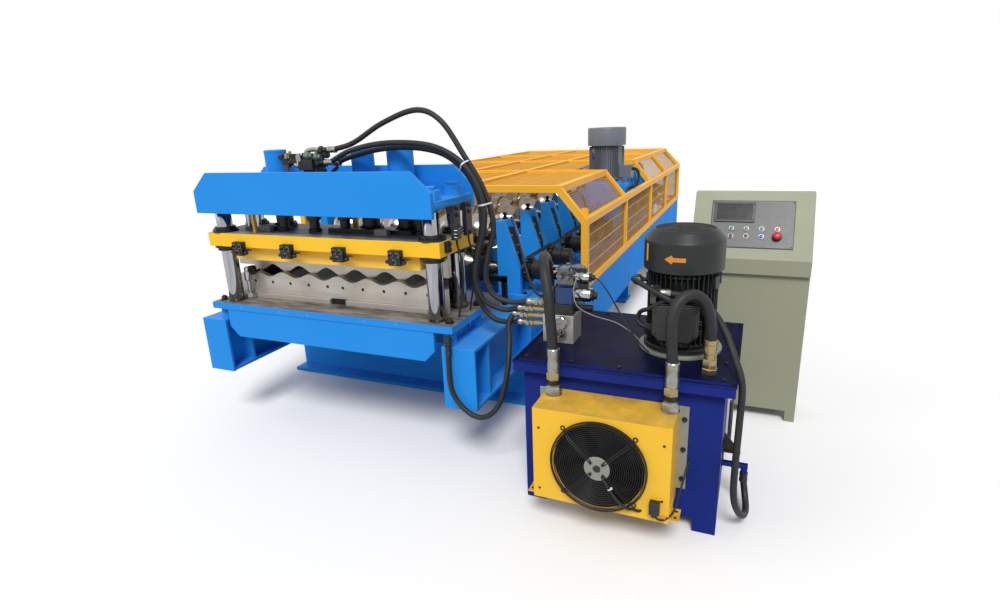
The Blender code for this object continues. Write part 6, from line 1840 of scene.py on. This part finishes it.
def make_console():
    """The operator's panel on the slope, and the door's seams, lock and hinges at the back."""
    low, high = PANEL_START, PANEL_START + PANEL_HEIGHT
    block((-0.2, low, 0.0003), (0.2, high, PLATE_TOP))
    panel_piece("panel_plate", panel_grey, 0.0015, ("console_panel",))
    for x in (-0.193, 0.193):
        for y in (low + 0.008, high - 0.008):
            cap_screw((x, y, PLATE_TOP), Z, 0.0035, 0.002)
    block((-0.2025, low - 0.0025, 0.0002), (0.2025, low, 0.003))
    block((-0.2025, high, 0.0002), (0.2025, high + 0.0025, 0.003))
    for x0, x1 in ((-0.2025, -0.2), (0.2, 0.2025)):
        block((x0, low, 0.0002), (x1, high, 0.003))
    panel_piece("panel_trim", iron, 0.0004)
    x0, x1, y0, y1 = -0.188, 0.012, low + 0.139, low + 0.252
    for a, b, c, d in (
        (x0, x1, y0, y0 + 0.012), (x0, x1, y1 - 0.012, y1),
        (x0, x0 + 0.014, y0 + 0.012, y1 - 0.012), (x1 - 0.014, x1, y0 + 0.012, y1 - 0.012),
    ):
        block((a, c, PLATE_TOP), (b, d, 0.0125))
    panel_piece("screen_frame", plastic, 0.0015)
    block((x0 + 0.014, y0 + 0.012, PLATE_TOP), (x1 - 0.014, y1 - 0.012, 0.0105))
    panel_piece("screen_glass", glass_dark, 0.0006)
    make_buttons(low)
    x0, x1 = CONSOLE_X
    back = CONSOLE_FRONT + CONSOLE_DEPTH
    for a, b, c, d in (
        (x0 + 0.04, x1 - 0.04, 0.12, 0.122), (x0 + 0.04, x1 - 0.04, 1.15, 1.152),
        (x0 + 0.04, x0 + 0.042, 0.122, 1.15), (x1 - 0.042, x1 - 0.04, 0.122, 1.15),
    ):
        block((a, back - 0.0005, c), (b, back + 0.0006, d))
    for k in range(9):
        z = 0.24 + k * 0.016
        block((x0 + 0.18, back - 0.0005, z), (x1 - 0.18, back + 0.001, z + 0.006))
    piece("console_seams", iron)
    lathe((x0 + 0.075, back + 0.0005, 0.7), Y, [(0, 0.014), (0.004, 0.014), (0.005, 0.01), (0.012, 0.01)], 20)
    for z in (0.3, 1.0):
        rod((x1 - 0.044, back + 0.004, z - 0.03), (x1 - 0.044, back + 0.004, z + 0.03), 0.006, 12)
    piece("console_lock_and_hinges", zinc)


def make_buttons(low):
    """Two rows of push buttons, a key switch, and the stop button."""
    columns = (-0.0975, -0.024, 0.0495, 0.123)
    lower, upper = low + 0.061, low + 0.1035
    rings, greens, reds, blues, darks = (bmesh.new() for _ in range(5))
    layout = {(0, 0): darks, (1, 0): darks, (2, 0): blues, (0, 1): greens, (1, 1): greens, (2, 1): greens,
        (3, 1): reds}
    for (column, row), target in layout.items():
        x, y = columns[column], (lower, upper)[row]
        lathe((x, y, PLATE_TOP), Z, [(0, 0.014), (0.003, 0.014), (0.0045, 0.0125), (0.0045, 0.0105),
            (0.003, 0.01)], 32, capped=False, bm=rings)
        lathe((x, y, PLATE_TOP), Z, [(0, 0.0098), (0.008, 0.0098), (0.01, 0.0085), (0.0105, 0.004)], 28,
            bm=target)
        if column == 0 and target is darks:
            block((x - 0.0022, y - 0.011, 0.0158), (x + 0.0022, y + 0.011, 0.0205), bm=target)
    x, y = columns[3], lower
    lathe((x, y, PLATE_TOP), Z, [(0, 0.011), (0.014, 0.011), (0.014, 0.019), (0.018, 0.02), (0.023, 0.019),
        (0.028, 0.014), (0.03, 0.006)], 36, bm=reds)
    stop_ring = bmesh.new()
    disc((x, y, PLATE_TOP), Z, 0.026, 0.0012, 40, bm=stop_ring)
    panel_piece("button_rings", zinc, bm=rings)
    panel_piece("green_buttons", green, bm=greens)
    panel_piece("red_buttons", red, bm=reds)
    panel_piece("blue_buttons", sign_blue, bm=blues)
    panel_piece("key_switch", plastic, bm=darks)
    panel_piece("stop_button_plate", iron, bm=stop_ring)


def hose_at_height(name, level):
    """Where a hose passes downward through a height, and its direction there."""
    points = smooth(HOSES[name][2], 0.005)
    for a, b in zip(points, points[1:]):
        if a.z > level >= b.z:
            return a.lerp(b, (a.z - level) / (a.z - b.z)), (b - a).normalized()
    raise ValueError(name)


def bundle_tie(places, width):
    """A band drawn tight round several hoses."""
    centre = sum((point for point, _ in places), Vector()) / len(places)
    along = sum((way for _, way in places), Vector()).normalized()
    side, up = across(along)
    flat = []
    for point, _ in places:
        offset = point - centre
        flat.append((offset.dot(side), offset.dot(up)))
    rows = [[], [], [], []]
    count = 48
    for i in range(count):
        angle = 2 * math.pi * i / count
        u, v = math.cos(angle), math.sin(angle)
        a, b = max(flat, key=lambda p: p[0] * u + p[1] * v)
        for row, (reach, shift) in zip(rows, ((0.0, -1), (0.0016, -1), (0.0016, 1), (0.0, 1))):
            radius = HOSE_RADIUS + reach
            place = centre + side * (a + radius * u) + up * (b + radius * v) + along * (shift * width / 2)
            row.append(DRAFT.verts.new(place))
    skin_rings(rows)


def make_hose_details():
    """Hose ends at the press bed and the tank's side, and the ties round the bundle."""
    x, y, z = 0.722, -0.872, 0.684
    nut((x, -0.8575, z), -Y, 0.017, 0.006)
    block((x - 0.014, y - 0.012, z - 0.014), (x + 0.014, y + 0.01, z + 0.014))
    nut((x, y, z - 0.014), -Z, 0.0165, 0.014)
    crimp((x, y, 0.655), -Z, HOSE_RADIUS, 0.046)
    piece("bed_port_elbow", iron)
    x, y, z = 2.0, -0.7, 0.17
    crimp((x, y, z + 0.002), -Z, SIDE_HOSE_RADIUS, 0.044)
    piece("side_port_crimp", iron)
    names = ("hose_high", "hose_bundle_1", "hose_bundle_2")
    for level in (1.445, 1.275):
        bundle_tie([hose_at_height(name, level) for name in names], 0.007)
    piece("bundle_ties", white)


make_drive_motor()
make_pump_motor()
make_manifold()
make_tank_details()
make_cooler()
make_fan()
make_console()
make_hose_details()
